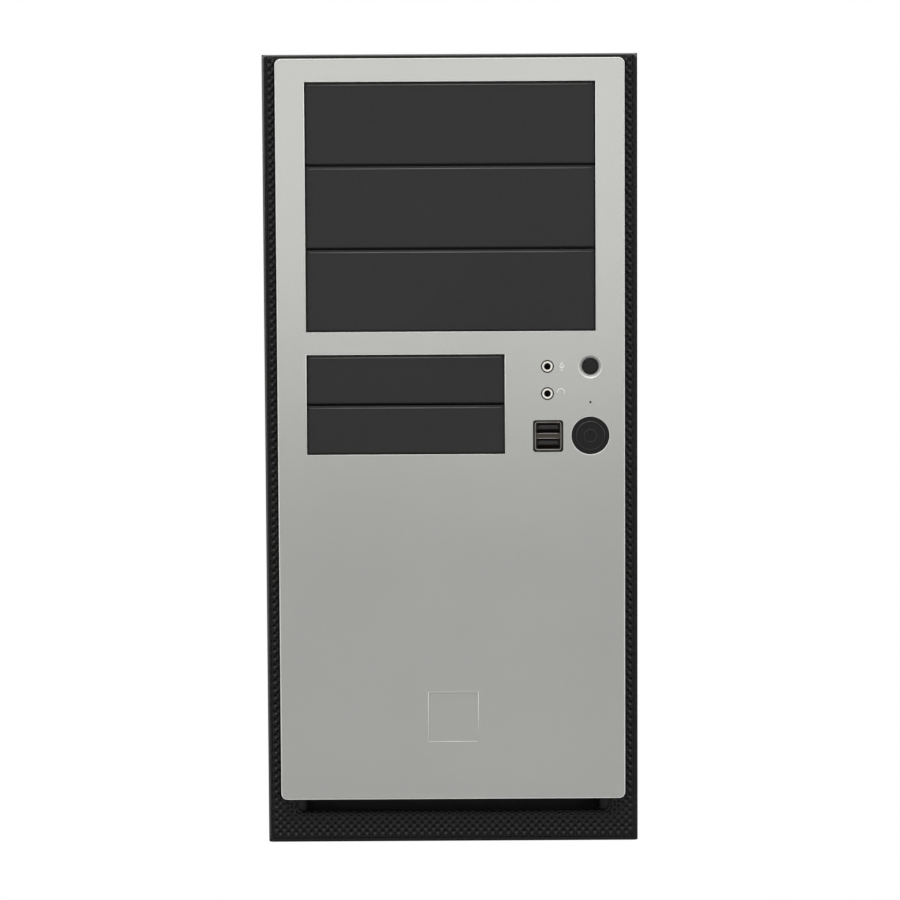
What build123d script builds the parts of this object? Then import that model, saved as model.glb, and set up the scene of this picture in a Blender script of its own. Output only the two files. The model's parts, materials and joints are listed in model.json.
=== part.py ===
"""Desktop computer tower: chassis, panels, front bezel, board, power supply, fans and drive.

Millimetres. +Z is up, the front faces -Y and +X is on the right of someone who looks at the front.
The origin is on the floor, under the middle of the bounding box.
"""
from build123d import *
from math import cos, pi, radians, sin
import os

# Overall sizes
WIDTH = 192.5
HEIGHT = 418.0
DEPTH = 437.0
FOOT_HEIGHT = 9.0
SHEET = 1.0
MOVING_GAP = 0.3

# Depth stations, front to back
PLATE_PROUD = 8.0
BEZEL_DEPTH = 38.0
SCREW_REACH = 9.0
PLATE_Y = -DEPTH / 2
FACE_Y = PLATE_Y + PLATE_PROUD
FRAME_Y = FACE_Y + BEZEL_DEPTH
REAR_Y = DEPTH / 2 - SCREW_REACH
REAR_IN = REAR_Y - SHEET
FRONT_IN = FRAME_Y + SHEET

# Width and height stations
SIDE_X = WIDTH / 2
FRAME_X = SIDE_X - SHEET - MOVING_GAP
FLOOR_Z = FOOT_HEIGHT + SHEET
ROOF_Z = HEIGHT - SHEET
FLANGE = 12.0

# Front plate and bezel
PLATE_SIDE_MARGIN = 6.85
PLATE_TOP_MARGIN = 2.0
PLATE_BOTTOM = 32.7
PLATE_WALL = 2.0
PLATE_CORNER = 3.2
PLATE_INNER_CORNER = PLATE_CORNER - 1.6
PLATE_EDGE = 0.8
BEZEL_WALL = 2.5
BEZEL_CORNER = 1.8
BEZEL_EDGE = 0.8
BEZEL_GAP = 0.3
PLATE_X = SIDE_X - PLATE_SIDE_MARGIN
PLATE_TOP = HEIGHT - PLATE_TOP_MARGIN
PLATE_BACK = PLATE_Y + PLATE_WALL
BEZEL_BACK = FRAME_Y - BEZEL_GAP
FACE_BACK = FACE_Y + BEZEL_WALL

# Drive bays, measured down from the top
BAY_5_WIDTH = 149.2
BAY_5_TOP = HEIGHT - 13.7
BAY_5_PITCH = 42.8
BAY_5_COUNT = 3
BAY_3_WIDTH = 102.4
BAY_3_TOP = HEIGHT - 153.4
BAY_3_PITCH = 26.0
BAY_3_COUNT = 2
BAY_LEFT = -BAY_5_WIDTH / 2
BAY_5_BOTTOM = BAY_5_TOP - BAY_5_PITCH * BAY_5_COUNT
BAY_3_BOTTOM = BAY_3_TOP - BAY_3_PITCH * BAY_3_COUNT
BAY_WALL = 2.0
COVER_GAP = 0.6
COVER_RECESS = 1.2
COVER_FACE = 2.5
COVER_ARM = 26.0
COVER_CHAMFER = 0.6
COVER_RIM = 8.0
SHELF = 1.4

# Controls on the plate
CONTROL_X = 71.6
POWER_Z = HEIGHT - 195.9
POWER_RECESS_R = 9.75
POWER_BUTTON_R = 7.5
RESET_Z = HEIGHT - 160.2
RESET_SINK_R = 6.3
RESET_BUTTON_R = 4.0
POWER_GUIDE_R = POWER_RECESS_R - 0.2
RESET_GUIDE_R = RESET_SINK_R + 0.6
BUTTON_CLEARANCE = 0.1
BUTTON_TRAVEL = 1.5
BUTTON_LIP = 1.0
LIGHT_Z = HEIGHT - 178.6
LIGHT_R = 0.6
JACK_X = 49.5
JACK_Z = [HEIGHT - 160.1, HEIGHT - 174.1]
JACK_GROOVE_R = 3.35
JACK_RING_R = 2.7
JACK_BORE_R = 1.75
JACK_BORE_DEPTH = 14.0
USB_X = 49.8
USB_Z = HEIGHT - 196.05
USB_RECESS_W = 15.6
USB_RECESS_H = 16.5
USB_SHELL_W = 13.2
USB_SHELL_H = 14.2
USB_PORT_W = 12.2
USB_PORT_H = 5.1
USB_PORT_PITCH = 8.1
USB_TONGUE_T = 1.8
BADGE_X = 0.3
BADGE_Z = 76.0
BADGE_SIZE = 26.0
BADGE_DEPTH = 0.5
SOCKET_BOARD_Y = FACE_Y + 13.0
SWITCH_BOARD_Y = FACE_Y + 20.0
SWITCH_FACE = SWITCH_BOARD_Y - 5.0
GUIDE_BACK = FACE_Y + 9.0
PCB = 1.6

# Air intake
SLOT_X = 81.4
SLOT_Z = 24.9
SLOT_TOP = 60.0
SLOT_END_R = 3.0
FILTER_X = 70.0
FILTER_LOW = 40.0
FILTER_HIGH = 180.0
FILTER_T = 4.0

# Bezel hinge, at the back of the right edge
HINGE_R = 3.0
HINGE_PIN_R = 1.0
PIN_CLEARANCE = 0.05
HINGE_X = SIDE_X - HINGE_R
HINGE_Y = FRAME_Y - BEZEL_GAP - HINGE_R
HINGE_LUG = 8.0
HINGE_Z = [FOOT_HEIGHT + 42.0, HEIGHT - 46.0]
HINGE_PIN_LENGTH = 22.0
HOOK_T = 3.0
HOOK_REACH = 7.0
HOOK_HEIGHT = 10.0
HOOK_Z = [FOOT_HEIGHT + 50.0, HEIGHT / 2, HEIGHT - 50.0]
HOOK_X = -SIDE_X + BEZEL_WALL + 4.0

# Side panels
PANEL_FLANGE = 14.0
PANEL_HOOK = 4.0
THUMB_Z = [FOOT_HEIGHT + 40.0, HEIGHT - 40.0]
THUMB_HEAD_R = 6.0
THUMB_SHAFT_R = 1.6
THUMB_X = SIDE_X - PANEL_FLANGE + 2.0
HEAD_GAP = 0.5

# Board and tray
TRAY_X = 88.0
STANDOFF = 6.3
BOARD_X = TRAY_X - STANDOFF
BOARD_FACE = BOARD_X - PCB
BOARD_DEEP = 243.0
BOARD_TALL = 305.0
BOARD_Z = FLOOR_Z + 5.0
BOARD_TOP = BOARD_Z + BOARD_TALL
BOARD_REAR = REAR_IN - 1.5
BOARD_FRONT = BOARD_REAR - BOARD_DEEP
IO_WIDE = 44.45
IO_TALL = 158.75
IO_X1 = BOARD_X + 0.6
IO_X0 = IO_X1 - IO_WIDE
IO_Z1 = BOARD_TOP - 6.0
IO_Z0 = IO_Z1 - IO_TALL
SLOT_PITCH = 20.32
SLOT_COUNT = 7
SLOT_FIRST_Z = IO_Z0 - 12.5
SLOT_LOW_X = -22.0
SLOT_HIGH_X = BOARD_FACE - 3.0
SLOT_OPEN = 14.0
COVER_WIDE = 18.4
IO_FRONT = BOARD_REAR - 18.0
IO_FACE = REAR_Y + 0.4
IO_GROUPS = [
    # offset down from the top, height along Z, how far it stands off the board
    (8.0, 14.0, 27.0),
    (26.0, 38.0, 12.0),
    (68.0, 14.0, 15.0),
    (86.0, 16.0, 30.0),
    (105.0, 16.0, 30.0),
    (125.0, 14.0, 36.0),
]

# Processor and its cooler
CPU_Y = BOARD_REAR - 98.0
CPU_Z = BOARD_TOP - 75.0
COOLER_SIZE = 80.0
COOLER_BASE = 6.0
FIN_HEIGHT = 30.0
FIN_T = 1.0
FIN_PITCH = 3.2
CPU_FAN_DEEP = 20.0
COOLER_X = BOARD_FACE - 6.0

# Rear fan
FAN_SIZE = 120.0
FAN_DEEP = 25.0
FAN_X = -26.0
FAN_Z = IO_Z1 - FAN_SIZE / 2

# Power supply
PSU_WIDE = 150.0
PSU_TALL = 86.0
PSU_DEEP = 140.0
PSU_TOP = ROOF_Z - 3.0
PSU_Z = PSU_TOP - PSU_TALL
PSU_FAN = 80.0
PSU_FAN_X = -24.0
PSU_FAN_Z = PSU_Z + PSU_TALL / 2
PSU_FAN_DEEP = 20.0
PSU_FRONT = REAR_IN - PSU_DEEP
INLET_X = 48.0
INLET_Z = PSU_Z + 52.0
INLET_WIDE = 28.0
INLET_TALL = 20.5
ROCKER_Z = PSU_Z + 21.0
ROCKER_WIDE = 19.0
ROCKER_TALL = 13.0
ROCKER_Y = REAR_IN - 5.0
PSU_SCREWS = [(-69.0, 6.0), (-69.0, 80.0), (69.0, 6.0), (45.0, 80.0)]

# Hard drive and cages
DRIVE_WIDE = 101.6
DRIVE_LONG = 147.0
DRIVE_HIGH = 26.1
DRIVE_Z = FLOOR_Z + 62.0
DRIVE_X = -8.0
DRIVE_Y = FRONT_IN + 10.0
CAGE_DEEP = 148.0
HDD_CAGE_HIGH = 118.0
CAGE_GAP = 0.3

# Leads and the sockets that they end in
POWER_SOCKET_Y = BOARD_FRONT + 9.0
POWER_SOCKET_Z = CPU_Z - 38.0
DATA_SOCKET_Y = BOARD_FRONT + 17.0
DATA_SOCKET_Z = BOARD_Z + 40.0
HARNESS_R = 4.5
HARNESS_X = 34.0
HARNESS_Z = PSU_Z + 24.0
DATA_R = 1.6

# Shared fastener sizes
SCREW_R = 1.7
SCREW_HEAD_R = 3.2
SCREW_HEAD_T = 2.0
FAN_HOLE_R = 2.2


def box(x0, x1, y0, y1, z0, z1):
    """Block between two corners."""
    middle = Pos((x0 + x1) / 2, (y0 + y1) / 2, (z0 + z1) / 2)
    return middle * Box(x1 - x0, y1 - y0, z1 - z0)


def slab_y(x0, x1, z0, z1, y0, y1, radius):
    """Block whose four edges along Y are rounded."""
    plane = Plane(origin=((x0 + x1) / 2, y1, (z0 + z1) / 2), x_dir=(1, 0, 0), z_dir=(0, -1, 0))
    return extrude(plane * RectangleRounded(x1 - x0, z1 - z0, radius), y1 - y0)


def slab_x(y0, y1, z0, z1, x0, x1, radius):
    """Block whose four edges along X are rounded."""
    plane = Plane(origin=(x0, (y0 + y1) / 2, (z0 + z1) / 2), x_dir=(0, 1, 0), z_dir=(1, 0, 0))
    return extrude(plane * RectangleRounded(y1 - y0, z1 - z0, radius), x1 - x0)


def rod_x(y, z, x0, x1, radius):
    """Round bar along X."""
    return Pos((x0 + x1) / 2, y, z) * Rot(0, 90, 0) * Cylinder(radius, x1 - x0)


def rod_y(x, z, y0, y1, radius):
    """Round bar along Y."""
    return Pos(x, (y0 + y1) / 2, z) * Rot(90, 0, 0) * Cylinder(radius, y1 - y0)


def rod_z(x, y, z0, z1, radius):
    """Round bar along Z."""
    return Pos(x, y, (z0 + z1) / 2) * Cylinder(radius, z1 - z0)


def cone_y(x, z, y0, y1, r0, r1):
    """Cone along Y with radius r0 at y0 and r1 at y1."""
    return Pos(x, (y0 + y1) / 2, z) * Rot(-90, 0, 0) * Cone(r0, r1, y1 - y0)


def cut(body, tools):
    """Body less a list of tools, or body itself when the list is empty."""
    return body - tools if tools else body


def write(node, *solids):
    """Write one node, which holds one or more separate solids."""
    pieces = []
    for item in solids:
        pieces.extend(item.solids())
    shape = pieces[0] if len(pieces) == 1 else Compound(children=pieces)
    shape.label = node
    export_step(shape, os.path.join("parts", node + ".step"))


def grid(low, high, pitch):
    """Evenly spaced values that are centred between two limits."""
    count = max(1, int((high - low) // pitch) + 1)
    first = (low + high - (count - 1) * pitch) / 2
    return [first + i * pitch for i in range(count)]


def side_flanged(z0, z1, up):
    """Full-width sheet with a flange along each side, folded up or down."""
    sheet = box(-SIDE_X, SIDE_X, FRAME_Y, REAR_Y, z0, z1)
    low, high = (z1, z1 + FLANGE) if up else (z0 - FLANGE, z0)
    start = FRAME_Y + PANEL_HOOK + 2.0
    for side in (-1, 1):
        edges = sorted([side * FRAME_X, side * (FRAME_X - SHEET)])
        sheet += box(edges[0], edges[1], start, REAR_IN, low, high)
    return sheet


def chassis_base():
    base = side_flanged(FOOT_HEIGHT, FLOOR_Z, True)
    return cut(base, [rod_z(x, y, 0, FLOOR_Z + 1, SCREW_R) for x, y in foot_places()])


def foot_places():
    """Feet stand well in from the front and the back."""
    return [(x, y) for x in (-SIDE_X + 22, SIDE_X - 22) for y in (FRAME_Y + 44, REAR_Y - 34)]


def feet():
    pads = []
    for x, y in foot_places():
        pad = rod_z(x, y, 0, FOOT_HEIGHT, 11.0)
        pad = chamfer(pad.edges().group_by(Axis.Z)[0], 1.5)
        pads.append(pad - rod_z(x, y, -1, 3.0, 4.0))
    return pads


def chassis_top():
    return side_flanged(ROOF_Z, HEIGHT, False)


def intake_holes():
    """Round holes in the lower part of the front sheet, behind the filter."""
    holes = []
    for z in grid(FILTER_LOW + 8, FILTER_HIGH - 8, 9.0):
        for x in grid(-FILTER_X + 12, FILTER_X - 12, 9.0):
            holes.append(rod_y(x, z, FRAME_Y - 1, FRONT_IN + 1, 3.0))
    return holes


def chassis_front():
    """Front sheet: its vented lower part, the strips round the two bays, and the hinge lugs."""
    tools = intake_holes()
    for z in HOOK_Z:
        tools.append(box(HOOK_X - 2, HOOK_X + HOOK_T + 3.5, FRAME_Y - 1, FRONT_IN + 1,
                         z - HOOK_HEIGHT / 2 - 1, z + HOOK_HEIGHT / 2 + 1))
    strips = [
        (-FRAME_X, FRAME_X, FLOOR_Z, BAY_3_BOTTOM),
        (-FRAME_X, BAY_LEFT, BAY_3_BOTTOM, ROOF_Z),
        (-BAY_LEFT, FRAME_X, BAY_3_BOTTOM, ROOF_Z),
        (BAY_LEFT, -BAY_LEFT, BAY_5_TOP, ROOF_Z),
        (BAY_LEFT, -BAY_LEFT, BAY_3_TOP, BAY_5_BOTTOM),
        (BAY_LEFT + BAY_3_WIDTH, -BAY_LEFT, BAY_3_BOTTOM, BAY_3_TOP),
    ]
    parts = [cut(box(x0, x1, FRAME_Y, FRONT_IN, z0, z1), tools) for x0, x1, z0, z1 in strips]
    for z in HINGE_Z:
        lug = box(HINGE_X - HINGE_R, HINGE_X + HINGE_R, HINGE_Y, FRAME_Y, z, z + HINGE_LUG)
        lug += rod_z(HINGE_X, HINGE_Y, z, z + HINGE_LUG, HINGE_R)
        parts.append(lug - rod_z(HINGE_X, HINGE_Y, z - 1, z + HINGE_LUG + 1, HINGE_PIN_R))
    return parts


def bezel_hinge_pins():
    middle = HINGE_LUG / 2
    half = HINGE_PIN_LENGTH / 2
    return [rod_z(HINGE_X, HINGE_Y, z + middle - half, z + middle + half, HINGE_PIN_R) for z in HINGE_Z]


def slot_heights():
    return [SLOT_FIRST_Z - i * SLOT_PITCH for i in range(SLOT_COUNT)]


def fan_vents(x, z, y0, y1, radius):
    """Rings of round holes behind a fan."""
    holes = []
    ring = 9.0
    while ring < radius - 3.5:
        count = int(2 * pi * ring / 8.0)
        for i in range(count):
            turn = radians(360.0 * i / count)
            holes.append(rod_y(x + ring * cos(turn), z + ring * sin(turn), y0, y1, 2.9))
        ring += 8.0
    return holes


def corner_holes(x, z, spacing, y0, y1, radius):
    """Four screw holes on a square."""
    half = spacing / 2
    return [rod_y(x + i * half, z + j * half, y0, y1, radius) for i in (-1, 1) for j in (-1, 1)]


def chassis_rear():
    sheet = box(-FRAME_X, FRAME_X, REAR_IN, REAR_Y, FLOOR_Z, ROOF_Z)
    back = REAR_IN - 1
    out = REAR_Y + 1
    tools = [
        box(-PSU_WIDE / 2 + 9, PSU_WIDE / 2 - 9, back, out, PSU_Z + 11, PSU_TOP - 11),
        rod_y(PSU_FAN_X, PSU_FAN_Z, back, out, PSU_FAN / 2 - 2),
    ]
    for x, z in PSU_SCREWS:
        tools.append(rod_y(x, PSU_Z + z, back, out, SCREW_R))
    tools.append(box(IO_X0, IO_X1, back, out, IO_Z0, IO_Z1))
    for z in slot_heights():
        tools.append(slab_y(SLOT_LOW_X, SLOT_HIGH_X, z - SLOT_OPEN / 2, z + SLOT_OPEN / 2, back, out, 1.0))
        tools.append(rod_y(SLOT_LOW_X - 8, z, back, out, SCREW_R))
    tools += fan_vents(FAN_X, FAN_Z, back, out, FAN_SIZE / 2)
    tools += corner_holes(FAN_X, FAN_Z, fan_holes(FAN_SIZE), back, out, SCREW_R)
    for x in (-THUMB_X, THUMB_X):
        for z in THUMB_Z:
            tools.append(rod_y(x, z, back, out, THUMB_SHAFT_R))
    return cut(sheet, tools)


def motherboard_tray():
    sheet = box(TRAY_X, TRAY_X + SHEET, FRONT_IN, REAR_IN, FLOOR_Z, ROOF_Z)
    tools = [
        slab_x(CPU_Y - 40, CPU_Y + 40, CPU_Z - 40, CPU_Z + 40, TRAY_X - 1, TRAY_X + 3, 6.0),
        slab_x(BOARD_FRONT - 34, BOARD_FRONT - 10, BOARD_Z + 30, BOARD_Z + 90, TRAY_X - 1, TRAY_X + 3, 6.0),
        slab_x(BOARD_FRONT - 34, BOARD_FRONT - 10, BOARD_Z + 130, BOARD_Z + 190, TRAY_X - 1, TRAY_X + 3, 6.0),
    ]
    for y, z in board_hole_places():
        tools.append(rod_x(y, z, TRAY_X - 1, TRAY_X + 3, SCREW_R))
    return cut(sheet, tools)


def cage_slots(z_list, y0, y1, x0, x1):
    """Long screw slots through the walls of a drive cage."""
    return [slab_x(y0, y1, z - 2, z + 2, x0, x1, 1.9) for z in z_list]


def optical_bay_cage():
    outer = BAY_5_WIDTH / 2
    end = FRONT_IN + CAGE_DEEP
    cage = box(-outer, outer, FRONT_IN, end, BAY_5_BOTTOM - SHEET, ROOF_Z)
    hollow = box(-outer + SHEET, outer - SHEET, FRONT_IN - 1, end + 1, BAY_5_BOTTOM, ROOF_Z + 1)
    rows = [BAY_5_TOP - BAY_5_PITCH * (i + 0.65) for i in range(BAY_5_COUNT)]
    slots = cage_slots(rows, FRONT_IN + 30, FRONT_IN + 60, -outer - 1, outer + 1)
    slots += cage_slots(rows, FRONT_IN + 90, FRONT_IN + 120, -outer - 1, outer + 1)
    return cut(cage, [hollow] + slots)


def floppy_bay_cage():
    low_x = BAY_LEFT
    high_x = BAY_LEFT + BAY_3_WIDTH
    end = FRONT_IN + CAGE_DEEP
    top = BAY_5_BOTTOM - SHEET
    cage = box(low_x - SHEET, high_x + SHEET, FRONT_IN, end, BAY_3_BOTTOM - 2, top)
    hollow = box(low_x, high_x, FRONT_IN - 1, end + 1, BAY_3_BOTTOM - 1, top + 1)
    rows = [BAY_3_TOP - BAY_3_PITCH * (i + 0.5) for i in range(BAY_3_COUNT)]
    slots = cage_slots(rows, FRONT_IN + 25, FRONT_IN + 55, low_x - 2, high_x + 2)
    slots += cage_slots(rows, FRONT_IN + 85, FRONT_IN + 115, low_x - 2, high_x + 2)
    return cut(cage, [hollow] + slots)


def drive_screw_places():
    """Side screws of the hard drive, as (y, z)."""
    return [(DRIVE_Y + y, DRIVE_Z + 6.4) for y in (28.5, 130.1)]


def hard_drive_cage():
    half = DRIVE_WIDE / 2 + CAGE_GAP
    top = FLOOR_Z + HDD_CAGE_HIGH
    end = FRONT_IN + CAGE_DEEP
    cage = box(DRIVE_X - half - SHEET, DRIVE_X + half + SHEET, FRONT_IN, end, FLOOR_Z, top)
    hollow = box(DRIVE_X - half, DRIVE_X + half, FRONT_IN - 1, end + 12, FLOOR_Z + SHEET, top - SHEET)
    tools = [hollow]
    for y, z in drive_screw_places():
        tools.append(rod_x(y, z, DRIVE_X - half - 2, DRIVE_X + half + 2, SCREW_R))
    tools += cage_slots([FLOOR_Z + 20, FLOOR_Z + 44, FLOOR_Z + 102], FRONT_IN + 30, FRONT_IN + 120,
                        DRIVE_X - half - 2, DRIVE_X + half + 2)
    return cut(cage, tools)


def side_panel(side):
    """Outer sheet with a rear flange, notches for the thumbscrews and three hooks at the front."""
    low = FLOOR_Z + MOVING_GAP
    high = ROOF_Z - MOVING_GAP
    front = FRAME_Y + 0.2
    panel = box(SIDE_X - SHEET, SIDE_X, front, REAR_Y + MOVING_GAP + SHEET, low, high)
    flange = box(SIDE_X - PANEL_FLANGE, SIDE_X - SHEET, REAR_Y + MOVING_GAP, REAR_Y + MOVING_GAP + SHEET,
                 low, high)
    for z in THUMB_Z:
        notch = rod_y(THUMB_X, z, REAR_Y, REAR_Y + 3, THUMB_SHAFT_R + 0.6)
        notch += box(SIDE_X - PANEL_FLANGE - 1, THUMB_X, REAR_Y, REAR_Y + 3, z - THUMB_SHAFT_R - 0.6,
                     z + THUMB_SHAFT_R + 0.6)
        flange -= notch
    panel += flange
    for z in (low + 30, (low + high) / 2, high - 30):
        panel += box(SIDE_X - SHEET - PANEL_HOOK, SIDE_X - SHEET, FRONT_IN + MOVING_GAP,
                     FRONT_IN + MOVING_GAP + SHEET, z - 8, z + 8)
    return panel if side > 0 else mirror(panel, Plane.YZ)


def thumbscrews():
    under = REAR_Y + MOVING_GAP + SHEET + HEAD_GAP
    knobs = []
    for x in (-THUMB_X, THUMB_X):
        for z in THUMB_Z:
            head = rod_y(x, z, under, DEPTH / 2, THUMB_HEAD_R)
            head = chamfer(head.edges().filter_by(GeomType.CIRCLE), 0.6)
            slot = box(x - THUMB_HEAD_R, x + THUMB_HEAD_R, DEPTH / 2 - 1.6, DEPTH / 2 + 1, z - 0.6, z + 0.6)
            knobs.append(head - slot + rod_y(x, z, REAR_IN - 4, under, THUMB_SHAFT_R))
    return knobs


def slot_covers():
    covers = []
    for z in slot_heights():
        plate = box(SLOT_LOW_X - 12, SLOT_HIGH_X + 4, REAR_IN - SHEET, REAR_IN, z - COVER_WIDE / 2,
                    z + COVER_WIDE / 2)
        vents = [slab_y(x, x + 16, z - 4.5, z + 4.5, REAR_IN - 3, REAR_Y, 1.5)
                 for x in grid(SLOT_LOW_X + 4, SLOT_HIGH_X - 20, 21.0)]
        hole = rod_y(SLOT_LOW_X - 8, z, REAR_IN - 3, REAR_Y, SCREW_R)
        covers.append(cut(plate, vents + [hole]))
    return covers


def screw_y(x, z, y_seat, length, out):
    """Pan-head screw whose head sits on the plane y_seat; out is the side that the head stands on."""
    ends = sorted([y_seat, y_seat + out * SCREW_HEAD_T])
    head = rod_y(x, z, ends[0], ends[1], SCREW_HEAD_R)
    head -= box(x - 2, x + 2, y_seat + out * SCREW_HEAD_T - 0.8, y_seat + out * SCREW_HEAD_T + 0.8,
                z - 0.4, z + 0.4)
    shaft = sorted([y_seat, y_seat - out * length])
    return head + rod_y(x, z, shaft[0], shaft[1], SCREW_R)


def case_screws():
    screws = [screw_y(x, PSU_Z + z, REAR_Y, SHEET + 5.0, 1) for x, z in PSU_SCREWS]
    screws += [screw_y(SLOT_LOW_X - 8, z, REAR_Y, 2 * SHEET + 3.0, 1) for z in slot_heights()]
    half = fan_holes(FAN_SIZE) / 2
    for i in (-1, 1):
        for j in (-1, 1):
            screws.append(screw_y(FAN_X + i * half, FAN_Z + j * half, REAR_Y, SHEET + 3.8, 1))
    wall = DRIVE_WIDE / 2 + CAGE_GAP + SHEET
    for side in (-1, 1):
        for y, z in drive_screw_places():
            seat = DRIVE_X + side * wall
            head = sorted([seat, seat + side * SCREW_HEAD_T])
            shaft = sorted([seat, seat - side * (SHEET + CAGE_GAP + 3.0)])
            screws.append(rod_x(y, z, head[0], head[1], SCREW_HEAD_R) + rod_x(y, z, shaft[0], shaft[1], SCREW_R))
    return screws


def board_hole_places():
    """Nine standoffs in three columns, as (y, z)."""
    columns = [BOARD_REAR - 10.0, BOARD_REAR - 134.0, BOARD_FRONT + 8.0]
    rows = [BOARD_Z + 6.0, BOARD_Z + 139.0, BOARD_TOP - 10.0]
    return [(y, z) for y in columns for z in rows]


def board_standoffs():
    """Brass standoffs, each with its screw head on the front of the board."""
    parts = []
    for y, z in board_hole_places():
        post = rod_x(y, z, BOARD_X, TRAY_X, 2.8) + rod_x(y, z, TRAY_X, TRAY_X + 3, SCREW_R)
        screw = rod_x(y, z, BOARD_FACE - 1.8, BOARD_FACE, 2.9)
        parts.append(post + rod_x(y, z, BOARD_FACE, BOARD_X, 1.5) + screw)
    return parts


def motherboard():
    board = box(BOARD_FACE, BOARD_X, BOARD_FRONT, BOARD_REAR, BOARD_Z, BOARD_TOP)
    return cut(board, [rod_x(y, z, BOARD_FACE - 1, BOARD_X + 1, 1.5) for y, z in board_hole_places()])


def on_board(y0, y1, z0, z1, height):
    """Block that stands on the component side of the board."""
    return box(BOARD_FACE - height, BOARD_FACE, y0, y1, z0, z1)


def cpu_socket():
    """Socket frame with the processor in it."""
    socket = on_board(CPU_Y - 24, CPU_Y + 24, CPU_Z - 24, CPU_Z + 24, 4.0)
    socket -= on_board(CPU_Y - 19, CPU_Y + 19, CPU_Z - 19, CPU_Z + 19, 10.0)
    lower = on_board(CPU_Y - 18.8, CPU_Y + 18.8, CPU_Z - 18.8, CPU_Z + 18.8, 3.0)
    lid = box(BOARD_FACE - 6.0, BOARD_FACE - 3.0, CPU_Y - 15, CPU_Y + 15, CPU_Z - 15, CPU_Z + 15)
    return [socket, lower + lid]


def cpu_heatsink():
    half = COOLER_SIZE / 2
    sink = box(COOLER_X - COOLER_BASE, COOLER_X, CPU_Y - half, CPU_Y + half, CPU_Z - half, CPU_Z + half)
    for y in grid(CPU_Y - half + FIN_T, CPU_Y + half - FIN_T, FIN_PITCH):
        sink += box(COOLER_X - COOLER_BASE - FIN_HEIGHT, COOLER_X - COOLER_BASE, y - FIN_T / 2, y + FIN_T / 2,
                    CPU_Z - half, CPU_Z + half)
    for i in (-1, 1):
        for j in (-1, 1):
            sink += rod_x(CPU_Y + i * (half - 6), CPU_Z + j * (half - 6), COOLER_X, BOARD_FACE, 3.0)
    return sink


def fan_holes(size):
    """Spacing of the screw holes in the corners of a fan."""
    return size - 15.0 if size > 90 else size - 8.5


def fan_frame(size, deep, hub):
    """Square fan frame with its motor, centred on the origin; air leaves at +Z."""
    frame = extrude(RectangleRounded(size, size, size * 0.05), deep)
    frame -= Pos(0, 0, deep / 2) * Cylinder(size / 2 - 1.8, deep + 2)
    half = fan_holes(size) / 2
    for i in (-1, 1):
        for j in (-1, 1):
            frame -= Pos(i * half, j * half, deep / 2) * Cylinder(FAN_HOLE_R, deep + 2)
    frame -= Pos(0, 0, deep / 2) * (Cylinder(size, deep - 8.0) - Cylinder(size / 2 + 0.6, deep - 8.0))
    frame += Pos(0, 0, 1.25) * Cylinder(hub, 2.5)
    for i in range(4):
        arm = Pos(size / 4, 0, 1.25) * Box(size / 2 - 2, 3.0, 2.5)
        frame += Rot(0, 0, 45 + 90 * i) * arm
    frame += Pos(0, 0, 2.5 + (deep - 11.0) / 2) * Cylinder(hub - 5.0, deep - 11.0)
    return frame - Pos(0, 0, deep / 2) * Cylinder(1.5, deep + 2)


def fan_rotor(size, deep, hub, blades):
    """Hub cup with its shaft and swept blades, centred on the origin."""
    low = 3.2
    high = deep - 1.5
    cup = Pos(0, 0, (low + high) / 2) * Cylinder(hub, high - low)
    cup -= Pos(0, 0, (low + high) / 2 - 2.0) * Cylinder(hub - 2.0, high - low)
    reach = size / 2 - 1.8 - 1.0
    span = reach - hub + 1.5
    tall = high - low - 1.0
    vane = Pos(hub - 1.5 + span / 2, 0, (low + high) / 2) * Rot(52, 0, 0) * Box(span + 2, tall * 1.22, 1.6)
    limit = Pos(0, 0, (low + high) / 2) * Cylinder(reach, tall)
    limit -= Pos(0, 0, (low + high) / 2) * Cylinder(hub - 1.0, tall + 2)
    vane = vane & limit
    for i in range(blades):
        cup += Rot(0, 0, 360.0 * i / blades) * vane
    return cup + Pos(0, 0, (2.0 + high) / 2) * Cylinder(1.5 - PIN_CLEARANCE, high - 2.0)


def at_cooler(shape):
    """Place a fan on the fins of the cooler, blowing at the board."""
    return Pos(COOLER_X - COOLER_BASE - FIN_HEIGHT - CPU_FAN_DEEP, CPU_Y, CPU_Z) * Rot(0, 90, 0) * shape


def at_rear(x, z, shape):
    """Place a fan inside the rear wall, motor side against the wall."""
    return Pos(x, REAR_IN, z) * Rot(90, 0, 0) * shape


def board_slots():
    """Memory sockets and expansion sockets, each a grooved bar."""
    bars = []
    for y in memory_rows():
        bar = on_board(y - 3.2, y + 3.2, CPU_Z - 76, CPU_Z + 66, 9.0)
        bars.append(bar - box(BOARD_FACE - 10, BOARD_FACE - 4, y - 0.8, y + 0.8, CPU_Z - 72, CPU_Z + 62))
    lengths = [25.0, 89.0, 25.0, 85.0, 85.0, 85.0]
    for z, length in zip(slot_heights()[:6], lengths):
        start = BOARD_REAR - 48.0
        bar = on_board(start - length, start, z - 3.8, z + 3.8, 11.0)
        bars.append(bar - box(BOARD_FACE - 12, BOARD_FACE - 3, start - length + 3, start - 3, z - 1, z + 1))
    return bars


def memory_rows():
    return [CPU_Y - 68.0 - 10.0 * i for i in range(4)]


def memory_modules():
    """Two memory modules standing in their sockets, with chips on both sides."""
    modules = []
    for y in memory_rows()[::2]:
        bottom = BOARD_FACE - 4.0
        module = box(bottom - 30, bottom, y - 0.65, y + 0.65, CPU_Z - 71.5, CPU_Z + 61.5)
        for z in grid(CPU_Z - 64, CPU_Z + 54, 15.0):
            module += box(bottom - 24, bottom - 10, y - 1.8, y + 1.8, z - 5, z + 5)
        modules.append(module)
    return modules


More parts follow.
